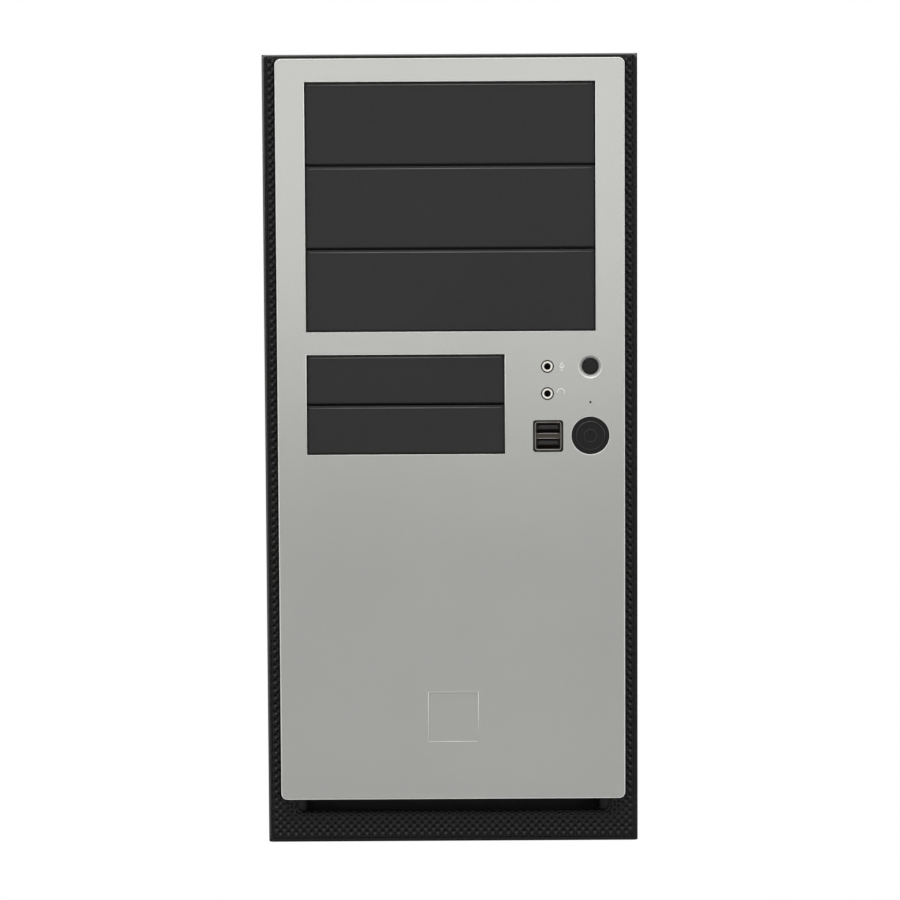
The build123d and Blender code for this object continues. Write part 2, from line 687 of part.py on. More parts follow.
def finned_block(y, z, size, height):
    """Small heat sink with parallel fins, on the board."""
    block = on_board(y - size / 2, y + size / 2, z - size / 2, z + size / 2, 5.0)
    for row in grid(z - size / 2 + 1, z + size / 2 - 1, 3.4):
        block += on_board(y - size / 2, y + size / 2, row - 0.6, row + 0.6, height)
    return block


def chipset_heatsinks():
    return [
        finned_block(CPU_Y - 13, SLOT_FIRST_Z + 27, 30.0, 24.0),
        finned_block(BOARD_FRONT + 50, BOARD_Z + 74, 26.0, 10.0),
    ]


def capacitors():
    cans = []
    for z in grid(CPU_Z - 46, CPU_Z + 46, 11.0):
        cans.append(rod_x(CPU_Y + 55, z, BOARD_FACE - 12, BOARD_FACE, 4.0))
    for y in grid(BOARD_FRONT + 50, BOARD_FRONT + 92, 15.0):
        cans.append(rod_x(y, SLOT_FIRST_Z + 7.0, BOARD_FACE - 9, BOARD_FACE, 2.8))
    return cans


def coils():
    return [on_board(CPU_Y + 43, CPU_Y + 49.5, z - 4.5, z + 4.5, 8.0) for z in grid(CPU_Z - 38, CPU_Z + 38, 19.0)]


def board_sockets():
    """Board power socket, four drive data sockets and the front-panel pins."""
    power = on_board(POWER_SOCKET_Y - 5, POWER_SOCKET_Y + 5, POWER_SOCKET_Z - 26, POWER_SOCKET_Z + 26, 12.0)
    parts = [power]
    for i in range(4):
        z = DATA_SOCKET_Z + 18.0 * i
        parts.append(on_board(DATA_SOCKET_Y - 4, DATA_SOCKET_Y + 4, z - 7, z + 7, 9.0))
    parts.append(on_board(BOARD_FRONT + 16, BOARD_FRONT + 42, BOARD_Z + 4, BOARD_Z + 9, 8.0))
    return parts


def coin_cell():
    y = BOARD_REAR - 150
    z = BOARD_Z + 32
    holder = rod_x(y, z, BOARD_FACE - 2.0, BOARD_FACE, 11.5)
    return [holder, rod_x(y, z, BOARD_FACE - 5.2, BOARD_FACE - 2.0, 10.0)]


def io_blocks():
    """Low X, high X, low Z and high Z of each rear connector."""
    return [(BOARD_FACE - tall, BOARD_FACE, IO_Z1 - down - high, IO_Z1 - down) for down, high, tall in IO_GROUPS]


def rear_port_block():
    """Rear connectors, each with its socket cut in from behind."""
    blocks = []
    for x0, x1, z0, z1 in io_blocks():
        block = box(x0, x1, IO_FRONT, IO_FACE, z0, z1)
        if x1 - x0 > 25:
            middle = (x0 + x1) / 2
            for low, high in ((x0 + 1.5, middle - 1), (middle + 1, x1 - 2.5)):
                block -= box(low, high, IO_FACE - 11, IO_FACE + 1, z0 + 1.5, z1 - 1.5)
        else:
            block -= box(x0 + 2, x1 - 2.5, IO_FACE - 8, IO_FACE + 1, z0 + 2, z1 - 2)
        blocks.append(block)
    return blocks


def io_shield():
    plate = box(IO_X0, IO_X1, REAR_IN, REAR_Y, IO_Z0, IO_Z1)
    plate += box(IO_X0 - 2, IO_X1 + 2, REAR_IN - 0.5, REAR_IN, IO_Z0 - 2, IO_Z1 + 2)
    tools = []
    for x0, x1, z0, z1 in io_blocks():
        tools.append(box(x0 - 0.3, x1 + 0.3, REAR_IN - 2, REAR_Y + 2, z0 - 0.3, z1 + 0.3))
    return cut(plate, tools)


def psu_housing():
    """Power supply tray with its rear and front walls, and the cover that closes it."""
    left = -PSU_WIDE / 2
    right = PSU_WIDE / 2
    tray = box(left, right, PSU_FRONT, REAR_IN, PSU_Z, PSU_TOP - SHEET)
    tray -= box(left - 1, right + 1, PSU_FRONT + SHEET, REAR_IN - SHEET, PSU_Z + SHEET, PSU_TOP)
    back = REAR_IN - 2
    tools = [
        slab_y(INLET_X - INLET_WIDE / 2, INLET_X + INLET_WIDE / 2, INLET_Z - INLET_TALL / 2,
               INLET_Z + INLET_TALL / 2, back, REAR_Y, 2.0),
        box(INLET_X - ROCKER_WIDE / 2, INLET_X + ROCKER_WIDE / 2, back, REAR_Y, ROCKER_Z - ROCKER_TALL / 2,
            ROCKER_Z + ROCKER_TALL / 2),
        rod_y(PSU_FAN_X, PSU_FAN_Z, back, REAR_Y, PSU_FAN / 2 - 3),
        rod_y(HARNESS_X, HARNESS_Z, PSU_FRONT - 1, PSU_FRONT + 2, HARNESS_R + 2.0),
    ]
    tools += [rod_y(x, PSU_Z + z, back, REAR_Y, SCREW_R) for x, z in PSU_SCREWS]
    for z in grid(PSU_Z + 12, PSU_TOP - 12, 8.0):
        tools.append(slab_y(left + 14, left + 60, z - 2, z + 2, PSU_FRONT - 1, PSU_FRONT + 2, 1.9))
    cover = box(left, right, PSU_FRONT, REAR_IN, PSU_TOP - SHEET, PSU_TOP)
    for x0, x1 in ((left, left + SHEET), (right - SHEET, right)):
        cover += box(x0, x1, PSU_FRONT + SHEET, REAR_IN - SHEET, PSU_Z + SHEET, PSU_TOP - SHEET)
    return [cut(tray, tools), cover]


def psu_fan_grille():
    """Wire guard over the power supply's fan: rings joined by four spokes."""
    y = REAR_IN + 0.8
    grille = None
    for radius in (8.0, 15.0, 22.0, 29.0, 36.0):
        ring = Pos(PSU_FAN_X, y, PSU_FAN_Z) * Rot(90, 0, 0) * Torus(radius, 0.8)
        grille = ring if grille is None else grille + ring
    for i in range(4):
        spoke = Pos(20.5, 0, 0) * Rot(0, 90, 0) * Cylinder(0.8, 33.0)
        grille += Pos(PSU_FAN_X, y, PSU_FAN_Z) * Rot(0, 45 + 90 * i, 0) * spoke
    return grille


def psu_inlet():
    """Mains inlet: flange behind the wall, body inside, three blades in the cavity."""
    w = INLET_WIDE / 2 - 0.2
    h = INLET_TALL / 2 - 0.2
    body = slab_y(INLET_X - w, INLET_X + w, INLET_Z - h, INLET_Z + h, REAR_IN - 22, REAR_Y + 0.5, 1.8)
    body += slab_y(INLET_X - w - 2, INLET_X + w + 2, INLET_Z - h - 2, INLET_Z + h + 2, REAR_IN - SHEET - 2,
                   REAR_IN - SHEET, 2.0)
    cavity = slab_y(INLET_X - w + 2, INLET_X + w - 2, INLET_Z - h + 2, INLET_Z + h - 2, REAR_IN - 18, REAR_Y + 2,
                    1.5)
    body -= cavity
    for dx, dz in ((-6.5, -1.5), (0.0, 2.5), (6.5, -1.5)):
        body += box(INLET_X + dx - 0.8, INLET_X + dx + 0.8, REAR_IN - 19, REAR_IN - 3, INLET_Z + dz - 2,
                    INLET_Z + dz + 2)
    return body


def rocker_frame():
    """Bezel of the rocker switch, with its two pivot pins."""
    w = ROCKER_WIDE / 2 - 0.2
    h = ROCKER_TALL / 2 - 0.2
    frame = box(INLET_X - w, INLET_X + w, REAR_IN - 14, REAR_Y + 0.5, ROCKER_Z - h, ROCKER_Z + h)
    frame += box(INLET_X - w - 2, INLET_X + w + 2, REAR_IN - SHEET - 2, REAR_IN - SHEET, ROCKER_Z - h - 2,
                 ROCKER_Z + h + 2)
    frame -= box(INLET_X - w + 1.5, INLET_X + w - 1.5, REAR_IN - 11, REAR_Y + 2, ROCKER_Z - h + 1.5,
                 ROCKER_Z + h - 1.5)
    return frame + rod_z(INLET_X, ROCKER_Y, ROCKER_Z - h + 1, ROCKER_Z + h - 1, 1.0)


def psu_switch():
    """Rocker with a shallow V on its face, turning on the frame's pin."""
    w = ROCKER_WIDE / 2 - 2.6
    h = ROCKER_TALL / 2 - 2.1
    rocker = box(INLET_X - w, INLET_X + w, ROCKER_Y - 3, REAR_Y - 0.2, ROCKER_Z - h, ROCKER_Z + h)
    for side in (-1, 1):
        slope = Pos(INLET_X + side * w, REAR_Y + 1.2, ROCKER_Z) * Rot(0, 0, side * 8) * Box(2 * w, 2.4, 2 * h + 2)
        rocker -= slope & box(INLET_X - 30, INLET_X + 30, REAR_Y - 3, REAR_Y + 5, ROCKER_Z - 20, ROCKER_Z + 20)
    return rocker - rod_z(INLET_X, ROCKER_Y, ROCKER_Z - h - 1, ROCKER_Z + h + 1, 1.0 + PIN_CLEARANCE)


def psu_circuit():
    """Board inside the power supply with its transformer, coil, heat sinks and capacitors."""
    low = PSU_Z + SHEET + 5.0
    front = PSU_FRONT + 8
    back = REAR_IN - PSU_FAN_DEEP - 8
    top = low + PCB
    board = box(-66, 66, front, back, low, top)
    posts = [rod_z(x, y, PSU_Z + SHEET, low, 3.0) for x in (-60, 60) for y in (front + 6, back - 6)]
    tall = [box(-50, -46, front + 12, back - 12, top, top + 48), box(30, 34, front + 12, back - 12, top, top + 48)]
    parts = [board + posts[0] + posts[1] + posts[2] + posts[3]] + tall
    parts.append(box(-30, 2, front + 30, front + 62, top, top + 34))
    parts.append(rod_z(16, front + 20, top, top + 30, 9.0))
    parts.append(rod_z(-12, front + 14, top, top + 22, 10.0))
    return parts


def hard_drive_body():
    """Casting with the drive's sockets at its rear end."""
    x0 = DRIVE_X - DRIVE_WIDE / 2
    x1 = DRIVE_X + DRIVE_WIDE / 2
    body = box(x0, x1, DRIVE_Y, DRIVE_Y + DRIVE_LONG, DRIVE_Z + PCB + 1.5, DRIVE_Z + DRIVE_HIGH - 1.5)
    body = fillet(body.edges().filter_by(Axis.Z), 3.0)
    for y, z in drive_screw_places():
        body -= rod_x(y, z, x0 - 1, x0 + 6, SCREW_R) + rod_x(y, z, x1 - 6, x1 + 1, SCREW_R)
    return body


def hard_drive_lid():
    x0 = DRIVE_X - DRIVE_WIDE / 2 + 2
    x1 = DRIVE_X + DRIVE_WIDE / 2 - 2
    top = DRIVE_Z + DRIVE_HIGH
    lid = box(x0, x1, DRIVE_Y + 2, DRIVE_Y + DRIVE_LONG - 14, top - 1.5, top)
    lid -= rod_z(DRIVE_X, DRIVE_Y + 56, top - 0.5, top + 1, 14.0)
    return fillet(lid.edges().filter_by(Axis.Z), 4.0)


def hard_drive_board():
    x0 = DRIVE_X - DRIVE_WIDE / 2 + 3
    x1 = DRIVE_X + DRIVE_WIDE / 2 - 3
    board = box(x0, x1, DRIVE_Y + 60, DRIVE_Y + DRIVE_LONG - 2, DRIVE_Z + 1.5, DRIVE_Z + 1.5 + PCB)
    board += box(DRIVE_X - 12, DRIVE_X + 8, DRIVE_Y + 82, DRIVE_Y + 102, DRIVE_Z, DRIVE_Z + 1.5)
    return board


def tube(points, radii, radius):
    """Cable of round section along straight runs that are joined by arcs."""
    path = FilletPolyline(*points, radius=radii)
    start = Plane(origin=path @ 0, z_dir=path % 0)
    return sweep(start * Circle(radius), path=path)


def power_leads():
    """Board power harness, from the power supply to its plug on the board."""
    end_x = BOARD_FACE - 22.0
    points = [
        (HARNESS_X, PSU_FRONT + 1, HARNESS_Z),
        (HARNESS_X, PSU_FRONT - 34, HARNESS_Z),
        (HARNESS_X - 4, PSU_FRONT - 58, HARNESS_Z - 40),
        (HARNESS_X + 0, POWER_SOCKET_Y, POWER_SOCKET_Z),
        (end_x, POWER_SOCKET_Y, POWER_SOCKET_Z),
    ]
    plug = box(end_x, BOARD_FACE - 12.0, POWER_SOCKET_Y - 4.6, POWER_SOCKET_Y + 4.6, POWER_SOCKET_Z - 25.5,
               POWER_SOCKET_Z + 25.5)
    return [tube(points, [18.0, 20.0, 11.0], HARNESS_R), plug]


def drive_data_lead():
    """Data lead, from the board to the back of the hard drive, with a plug at each end."""
    start_x = BOARD_FACE - 9.0
    drive_end = DRIVE_Y + DRIVE_LONG
    drive_z = DRIVE_Z + 8.0
    drive_x = DRIVE_X + 20.0
    points = [
        (start_x - 12, DATA_SOCKET_Y, DATA_SOCKET_Z),
        (start_x - 30, DATA_SOCKET_Y, DATA_SOCKET_Z),
        (drive_x, drive_end + 36, drive_z),
        (drive_x, drive_end + 8, drive_z),
    ]
    plug_a = box(start_x - 12, start_x, DATA_SOCKET_Y - 3, DATA_SOCKET_Y + 3, DATA_SOCKET_Z - 6, DATA_SOCKET_Z + 6)
    plug_b = box(drive_x - 7, drive_x + 7, drive_end, drive_end + 8, drive_z - 3, drive_z + 3)
    return [tube(points, [8.0, 8.0], DATA_R), plug_a, plug_b]


def bezel_bays():
    """Low X, high X, low Z and high Z of the two bay openings."""
    return [
        (BAY_LEFT, -BAY_LEFT, BAY_5_BOTTOM, BAY_5_TOP),
        (BAY_LEFT, BAY_LEFT + BAY_3_WIDTH, BAY_3_BOTTOM, BAY_3_TOP),
    ]


def bezel_face():
    """Front sheet of the bezel, with rounded edges and every opening through it."""
    face = box(-SIDE_X, SIDE_X, FACE_Y, BEZEL_BACK, FOOT_HEIGHT, HEIGHT)
    face = fillet(face.edges().filter_by(Axis.Z).group_by(Axis.Y)[0], BEZEL_CORNER)
    face = fillet(face.faces().sort_by(Axis.Y)[0].edges(), BEZEL_EDGE)
    face = face & box(-SIDE_X - 1, SIDE_X + 1, FACE_Y - 1, FACE_BACK, FOOT_HEIGHT - 1, HEIGHT + 1)
    front = FACE_Y - 1
    back = FACE_BACK + 1
    wall = BAY_WALL
    tools = [box(a - wall, b + wall, front, back, c - wall, d + wall) for a, b, c, d in bezel_bays()]
    tools.append(rod_y(CONTROL_X, POWER_Z, front, back, POWER_GUIDE_R))
    tools.append(rod_y(CONTROL_X, RESET_Z, front, back, RESET_GUIDE_R))
    tools.append(usb_collar(front, back))
    tools += [rod_y(JACK_X, z, front, back, JACK_RING_R + 0.05) for z in JACK_Z]
    tools.append(rod_y(CONTROL_X, LIGHT_Z, front, back, LIGHT_R))
    tools.append(slab_y(-SLOT_X, SLOT_X, SLOT_Z, SLOT_TOP, front, back, SLOT_END_R))
    for z in grid(SLOT_TOP + 16, BAY_3_BOTTOM - 20, 12.0):
        tools.append(slab_y(-FILTER_X + 10, FILTER_X - 10, z - 3, z + 3, front, back, 2.9))
    return cut(face, tools)


def bezel_walls():
    """Left, right, top and bottom walls behind the face."""
    inner = SIDE_X - BEZEL_WALL
    post = hinge_corner()
    left = box(-SIDE_X, -inner, FACE_BACK, BEZEL_BACK, FOOT_HEIGHT, HEIGHT)
    right = box(inner, SIDE_X, FACE_BACK, BEZEL_BACK, FOOT_HEIGHT, HEIGHT) + post
    bottom = box(-inner, inner, FACE_BACK, BEZEL_BACK, FOOT_HEIGHT, FOOT_HEIGHT + BEZEL_WALL) - post
    top = box(-inner, inner, FACE_BACK, BEZEL_BACK, HEIGHT - BEZEL_WALL, HEIGHT) - post
    return [left, cut(right, hinge_cuts()), bottom, top]


def bay_walls():
    """Four walls round each bay, and a shelf behind each gap between two covers."""
    walls = []
    for x0, x1, z0, z1 in bezel_bays():
        low = z0 - BAY_WALL
        high = z1 + BAY_WALL
        walls.append(box(x0 - BAY_WALL, x0, PLATE_BACK, BEZEL_BACK, low, high))
        walls.append(box(x1, x1 + BAY_WALL, PLATE_BACK, BEZEL_BACK, low, high))
        walls.append(box(x0, x1, PLATE_BACK, BEZEL_BACK, low, z0))
        walls.append(box(x0, x1, PLATE_BACK, BEZEL_BACK, z1, high))
    front = PLATE_Y + COVER_RECESS + COVER_RIM + 0.6
    back = PLATE_Y + COVER_RECESS + COVER_ARM
    gaps = [(-BAY_LEFT, BAY_5_TOP - BAY_5_PITCH * i) for i in range(1, BAY_5_COUNT)]
    gaps += [(BAY_LEFT + BAY_3_WIDTH, BAY_3_TOP - BAY_3_PITCH * i) for i in range(1, BAY_3_COUNT)]
    for x1, z in gaps:
        walls.append(box(BAY_LEFT, x1, front, back, z - SHELF / 2, z + SHELF / 2))
    return walls


def usb_collar(y0, y1):
    """Outline of the collar round the two stacked sockets."""
    w = USB_RECESS_W / 2 - 0.1
    h = USB_RECESS_H / 2 - 0.1
    return slab_y(USB_X - w, USB_X + w, USB_Z - h, USB_Z + h, y0, y1, 1.4)


def bezel_guides():
    """Guides of the two buttons and the collar of the sockets."""
    power = rod_y(CONTROL_X, POWER_Z, PLATE_Y + 1.4, GUIDE_BACK, POWER_GUIDE_R)
    power -= rod_y(CONTROL_X, POWER_Z, PLATE_Y, GUIDE_BACK + 1, POWER_BUTTON_R + BUTTON_CLEARANCE)
    reset = rod_y(CONTROL_X, RESET_Z, PLATE_BACK, GUIDE_BACK, RESET_GUIDE_R)
    reset -= rod_y(CONTROL_X, RESET_Z, PLATE_Y, GUIDE_BACK + 1, RESET_BUTTON_R + BUTTON_CLEARANCE)
    w = USB_SHELL_W / 2
    h = USB_SHELL_H / 2
    collar = usb_collar(PLATE_Y + 1.2, FACE_BACK)
    collar -= box(USB_X - w, USB_X + w, PLATE_Y, FACE_BACK + 1, USB_Z - h, USB_Z + h)
    return [power, reset, collar]


def bezel_bosses():
    """Bosses that carry the two small boards and the air filter."""
    bosses = [rod_y(x, z, FACE_BACK, SOCKET_BOARD_Y, 2.2) for x, z in socket_board_bosses()]
    bosses += [rod_y(x, z, FACE_BACK, SWITCH_BOARD_Y, 2.2) for x, z in switch_board_bosses()]
    back = BEZEL_BACK - 1.0 - FILTER_T
    return bosses + [rod_y(x, z, FACE_BACK, back, 3.0) for x, z in filter_bosses()]


def bezel_hooks():
    """Barbed hooks that catch the edge of the front sheet when the bezel is shut."""
    hooks = []
    end = BEZEL_BACK + HOOK_REACH
    for z in HOOK_Z:
        low = z - HOOK_HEIGHT / 2
        high = z + HOOK_HEIGHT / 2
        hooks.append(box(HOOK_X, HOOK_X + HOOK_T, FACE_BACK, end, low, high)
                     + box(HOOK_X - 1.2, HOOK_X, end - 3, end, low, high))
    return hooks


def hinge_corner():
    """Solid post down the hinge edge, rounded about the pin."""
    return box(HINGE_X - HINGE_R, SIDE_X, HINGE_Y - HINGE_R - 2, BEZEL_BACK, FOOT_HEIGHT, HEIGHT)


def hinge_cuts():
    """Rounding of the hinge edge, and pockets for the lugs and the pins."""
    corner = box(HINGE_X, SIDE_X + 1, HINGE_Y, BEZEL_BACK + 1, FOOT_HEIGHT - 1, HEIGHT + 1)
    corner -= rod_z(HINGE_X, HINGE_Y, FOOT_HEIGHT - 2, HEIGHT + 2, HINGE_R)
    tools = [corner]
    room = HINGE_R + MOVING_GAP
    for z in HINGE_Z:
        low = z - MOVING_GAP
        high = z + HINGE_LUG + MOVING_GAP
        tools.append(box(HINGE_X - room, SIDE_X + 1, HINGE_Y - room, BEZEL_BACK + 1, low, high))
        middle = z + HINGE_LUG / 2
        half = HINGE_PIN_LENGTH / 2 + MOVING_GAP
        tools.append(rod_z(HINGE_X, HINGE_Y, middle - half, middle + half, HINGE_PIN_R + PIN_CLEARANCE))
    return tools


def front_bezel():
    """The bezel as its face, walls, bay walls, guides, bosses and hooks, which touch without overlapping."""
    return [bezel_face()] + bezel_walls() + bay_walls() + bezel_guides() + bezel_bosses() + bezel_hooks()


def front_plate():
    """Plate with rounded corners and stepped openings, and the four walls behind its rim."""
    plate = slab_y(-PLATE_X, PLATE_X, PLATE_BOTTOM, PLATE_TOP, PLATE_Y, FACE_Y, PLATE_CORNER)
    plate = fillet(plate.faces().sort_by(Axis.Y)[0].edges(), PLATE_EDGE)
    x = PLATE_X - PLATE_WALL
    low = PLATE_BOTTOM + PLATE_WALL
    high = PLATE_TOP - PLATE_WALL
    front = plate & box(-SIDE_X, SIDE_X, PLATE_Y - 1, PLATE_BACK, 0, HEIGHT)
    rim = plate & box(-SIDE_X, SIDE_X, PLATE_BACK, FACE_Y + 1, 0, HEIGHT)
    rim -= slab_y(-x, x, low, high, PLATE_Y, FACE_Y + 1, PLATE_INNER_CORNER)
    x -= PLATE_INNER_CORNER
    middle = (low + high) / 2
    walls = [rim & box(a, b, PLATE_Y, FACE_Y + 1, 0, HEIGHT) for a, b in ((-SIDE_X, -x), (x, SIDE_X))]
    walls += [rim & box(-x, x, PLATE_Y, FACE_Y + 1, c, d) for c, d in ((0, middle), (middle, HEIGHT))]
    y0 = PLATE_Y - 1
    y1 = PLATE_BACK + 1
    tools = [box(a, b, y0, y1, c, d) for a, b, c, d in bezel_bays()]
    tools.append(rod_y(CONTROL_X, POWER_Z, y0, y1, POWER_RECESS_R))
    tools.append(cone_y(CONTROL_X, POWER_Z, PLATE_Y - 0.2, PLATE_Y + 0.4, POWER_RECESS_R + 0.6, POWER_RECESS_R))
    tools.append(rod_y(CONTROL_X, RESET_Z, y0, y1, RESET_BUTTON_R + 0.3))
    tools.append(cone_y(CONTROL_X, RESET_Z, PLATE_Y - 0.01, PLATE_Y + 1.5, RESET_SINK_R, RESET_BUTTON_R + 0.3))
    tools.append(slab_y(USB_X - USB_RECESS_W / 2, USB_X + USB_RECESS_W / 2, USB_Z - USB_RECESS_H / 2,
                        USB_Z + USB_RECESS_H / 2, y0, y1, 1.5))
    tools += [rod_y(JACK_X, z, y0, y1, JACK_GROOVE_R) for z in JACK_Z]
    tools.append(rod_y(CONTROL_X, LIGHT_Z, y0, y1, LIGHT_R))
    half = BADGE_SIZE / 2
    tools.append(box(BADGE_X - half, BADGE_X + half, y0, PLATE_Y + BADGE_DEPTH, BADGE_Z - half, BADGE_Z + half))
    return [cut(front, tools)] + walls


def bay_cover(x0, x1, z0, z1):
    """Blank bay cover: a face with four arms that grip the bay's side walls."""
    x0 += COVER_GAP
    x1 -= COVER_GAP
    z0 += COVER_GAP
    z1 -= COVER_GAP
    front = PLATE_Y + COVER_RECESS
    cover = box(x0, x1, front, front + COVER_FACE, z0, z1)
    cover = chamfer(cover.faces().sort_by(Axis.Y)[0].edges(), COVER_CHAMFER)
    for low, high in ((x0, x0 + 2.0), (x1 - 2.0, x1)):
        cover += box(low, high, front + COVER_FACE, front + COVER_ARM, z0 + 2, z1 - 2)
    for low, high in ((z0, z0 + 1.6), (z1 - 1.6, z1)):
        cover += box(x0 + 2, x1 - 2, front + COVER_FACE, front + COVER_RIM, low, high)
    return cover


def bay_covers():
    """Covers from the top bay down."""
    covers = []
    for i in range(BAY_5_COUNT):
        top = BAY_5_TOP - i * BAY_5_PITCH
        covers.append(bay_cover(BAY_LEFT, -BAY_LEFT, top - BAY_5_PITCH, top))
    for i in range(BAY_3_COUNT):
        top = BAY_3_TOP - i * BAY_3_PITCH
        covers.append(bay_cover(BAY_LEFT, BAY_LEFT + BAY_3_WIDTH, top - BAY_3_PITCH, top))
    return covers


def button(z, radius, front, rim):
    """Round button with a stem and a retaining lip behind its guide."""
    lip_y = GUIDE_BACK + 0.05
    body = rod_y(CONTROL_X, z, front, lip_y, radius)
    edge = body.faces().sort_by(Axis.Y)[0].edges()
    body = fillet(edge, 0.5)
    if rim:
        groove = rod_y(CONTROL_X, z, front - 1, front + 0.5, radius - 1.1)
        body -= groove
    body += rod_y(CONTROL_X, z, lip_y, lip_y + BUTTON_LIP, radius + 1.0)
    return body + rod_y(CONTROL_X, z, lip_y, SWITCH_FACE - BUTTON_TRAVEL - 0.1, 2.0)


def power_button():
    return button(POWER_Z, POWER_BUTTON_R, PLATE_Y + 0.8, True)


def reset_button():
    return button(RESET_Z, RESET_BUTTON_R, PLATE_Y + 1.0, False)


def switch_board_bosses():
    return [(CONTROL_X - 8, POWER_Z + 12), (CONTROL_X + 10, POWER_Z + 12), (CONTROL_X + 10, RESET_Z + 9)]


def switch_board():
    """Board behind the buttons with its two push switches."""
    back = SWITCH_BOARD_Y + PCB
    board = box(CONTROL_X - 11, CONTROL_X + 14, SWITCH_BOARD_Y, back, POWER_Z - 9, RESET_Z + 13)
    for z in (POWER_Z, RESET_Z):
        board += box(CONTROL_X - 3, CONTROL_X + 3, SWITCH_BOARD_Y - 3.5, SWITCH_BOARD_Y, z - 3, z + 3)
        board += rod_y(CONTROL_X, z, SWITCH_FACE, SWITCH_BOARD_Y, 1.75)
    return board


def activity_light():
    return rod_y(CONTROL_X, LIGHT_Z, PLATE_Y + 0.2, SWITCH_BOARD_Y, LIGHT_R - 0.05)


def socket_board_bosses():
    return [(JACK_X - 7.5, USB_Z + 18), (JACK_X + 7.5, JACK_Z[0] - 7), (JACK_X - 7.5, JACK_Z[0] + 6)]


def socket_board():
    low = USB_Z - USB_SHELL_H / 2 - 3
    return box(JACK_X - 11, JACK_X + 11, SOCKET_BOARD_Y, SOCKET_BOARD_Y + PCB, low, JACK_Z[0] + 9)


def usb_ports():
    """Low and high Z of the lower and the upper port."""
    middles = (USB_Z - USB_PORT_PITCH / 2, USB_Z + USB_PORT_PITCH / 2)
    return [(z - USB_PORT_H / 2, z + USB_PORT_H / 2) for z in middles]


def usb_shell():
    """Folded metal shell of the two stacked sockets."""
    w = USB_SHELL_W / 2
    h = USB_SHELL_H / 2
    shell = box(USB_X - w, USB_X + w, PLATE_Y + 1.0, SOCKET_BOARD_Y, USB_Z - h, USB_Z + h)
    for z0, z1 in usb_ports():
        shell -= box(USB_X - USB_PORT_W / 2, USB_X + USB_PORT_W / 2, PLATE_Y, SOCKET_BOARD_Y - 1.5, z0, z1)
    return shell


def usb_tongues():
    tongues = []
    for z0, z1 in usb_ports():
        middle = (z0 + z1) / 2 + 0.6
        tongues.append(box(USB_X - 4.9, USB_X + 4.9, PLATE_Y + 2.2, SOCKET_BOARD_Y - 1.5, middle - USB_TONGUE_T / 2,
                           middle + USB_TONGUE_T / 2))
    return tongues


def audio_jacks():
    """Barrel of each jack with a body behind it on the board."""
    jacks = []
    for z in JACK_Z:
        jack = rod_y(JACK_X, z, PLATE_Y + 0.3, SOCKET_BOARD_Y, JACK_RING_R)
        jack += box(JACK_X - 4.5, JACK_X + 4.5, FACE_BACK + 2, SOCKET_BOARD_Y, z - 4.5, z + 4.5)
        jacks.append(jack - rod_y(JACK_X, z, PLATE_Y, PLATE_Y + 0.3 + JACK_BORE_DEPTH, JACK_BORE_R))
    return jacks


def filter_bosses():
    z_mid = (FILTER_LOW + FILTER_HIGH) / 2
    return [(x, z) for x in (-FILTER_X + 3, FILTER_X - 3) for z in (FILTER_LOW + 24, z_mid, FILTER_HIGH - 4)]


def air_filter():
    """Filter frame with a lattice that holds the mesh."""
    front = BEZEL_BACK - 1.0 - FILTER_T
    back = BEZEL_BACK - 1.0
    frame = box(-FILTER_X, FILTER_X, front, back, FILTER_LOW, FILTER_HIGH)
    frame -= box(-FILTER_X + 6, FILTER_X - 6, front - 1, back + 1, FILTER_LOW + 6, FILTER_HIGH - 6)
    frame += box(-FILTER_X + 5, FILTER_X - 5, front + 1.7, front + 2.3, FILTER_LOW + 5, FILTER_HIGH - 5)
    for x in (-FILTER_X / 3, FILTER_X / 3):
        frame += box(x - 1.5, x + 1.5, front, back, FILTER_LOW + 5, FILTER_HIGH - 5)
    return frame


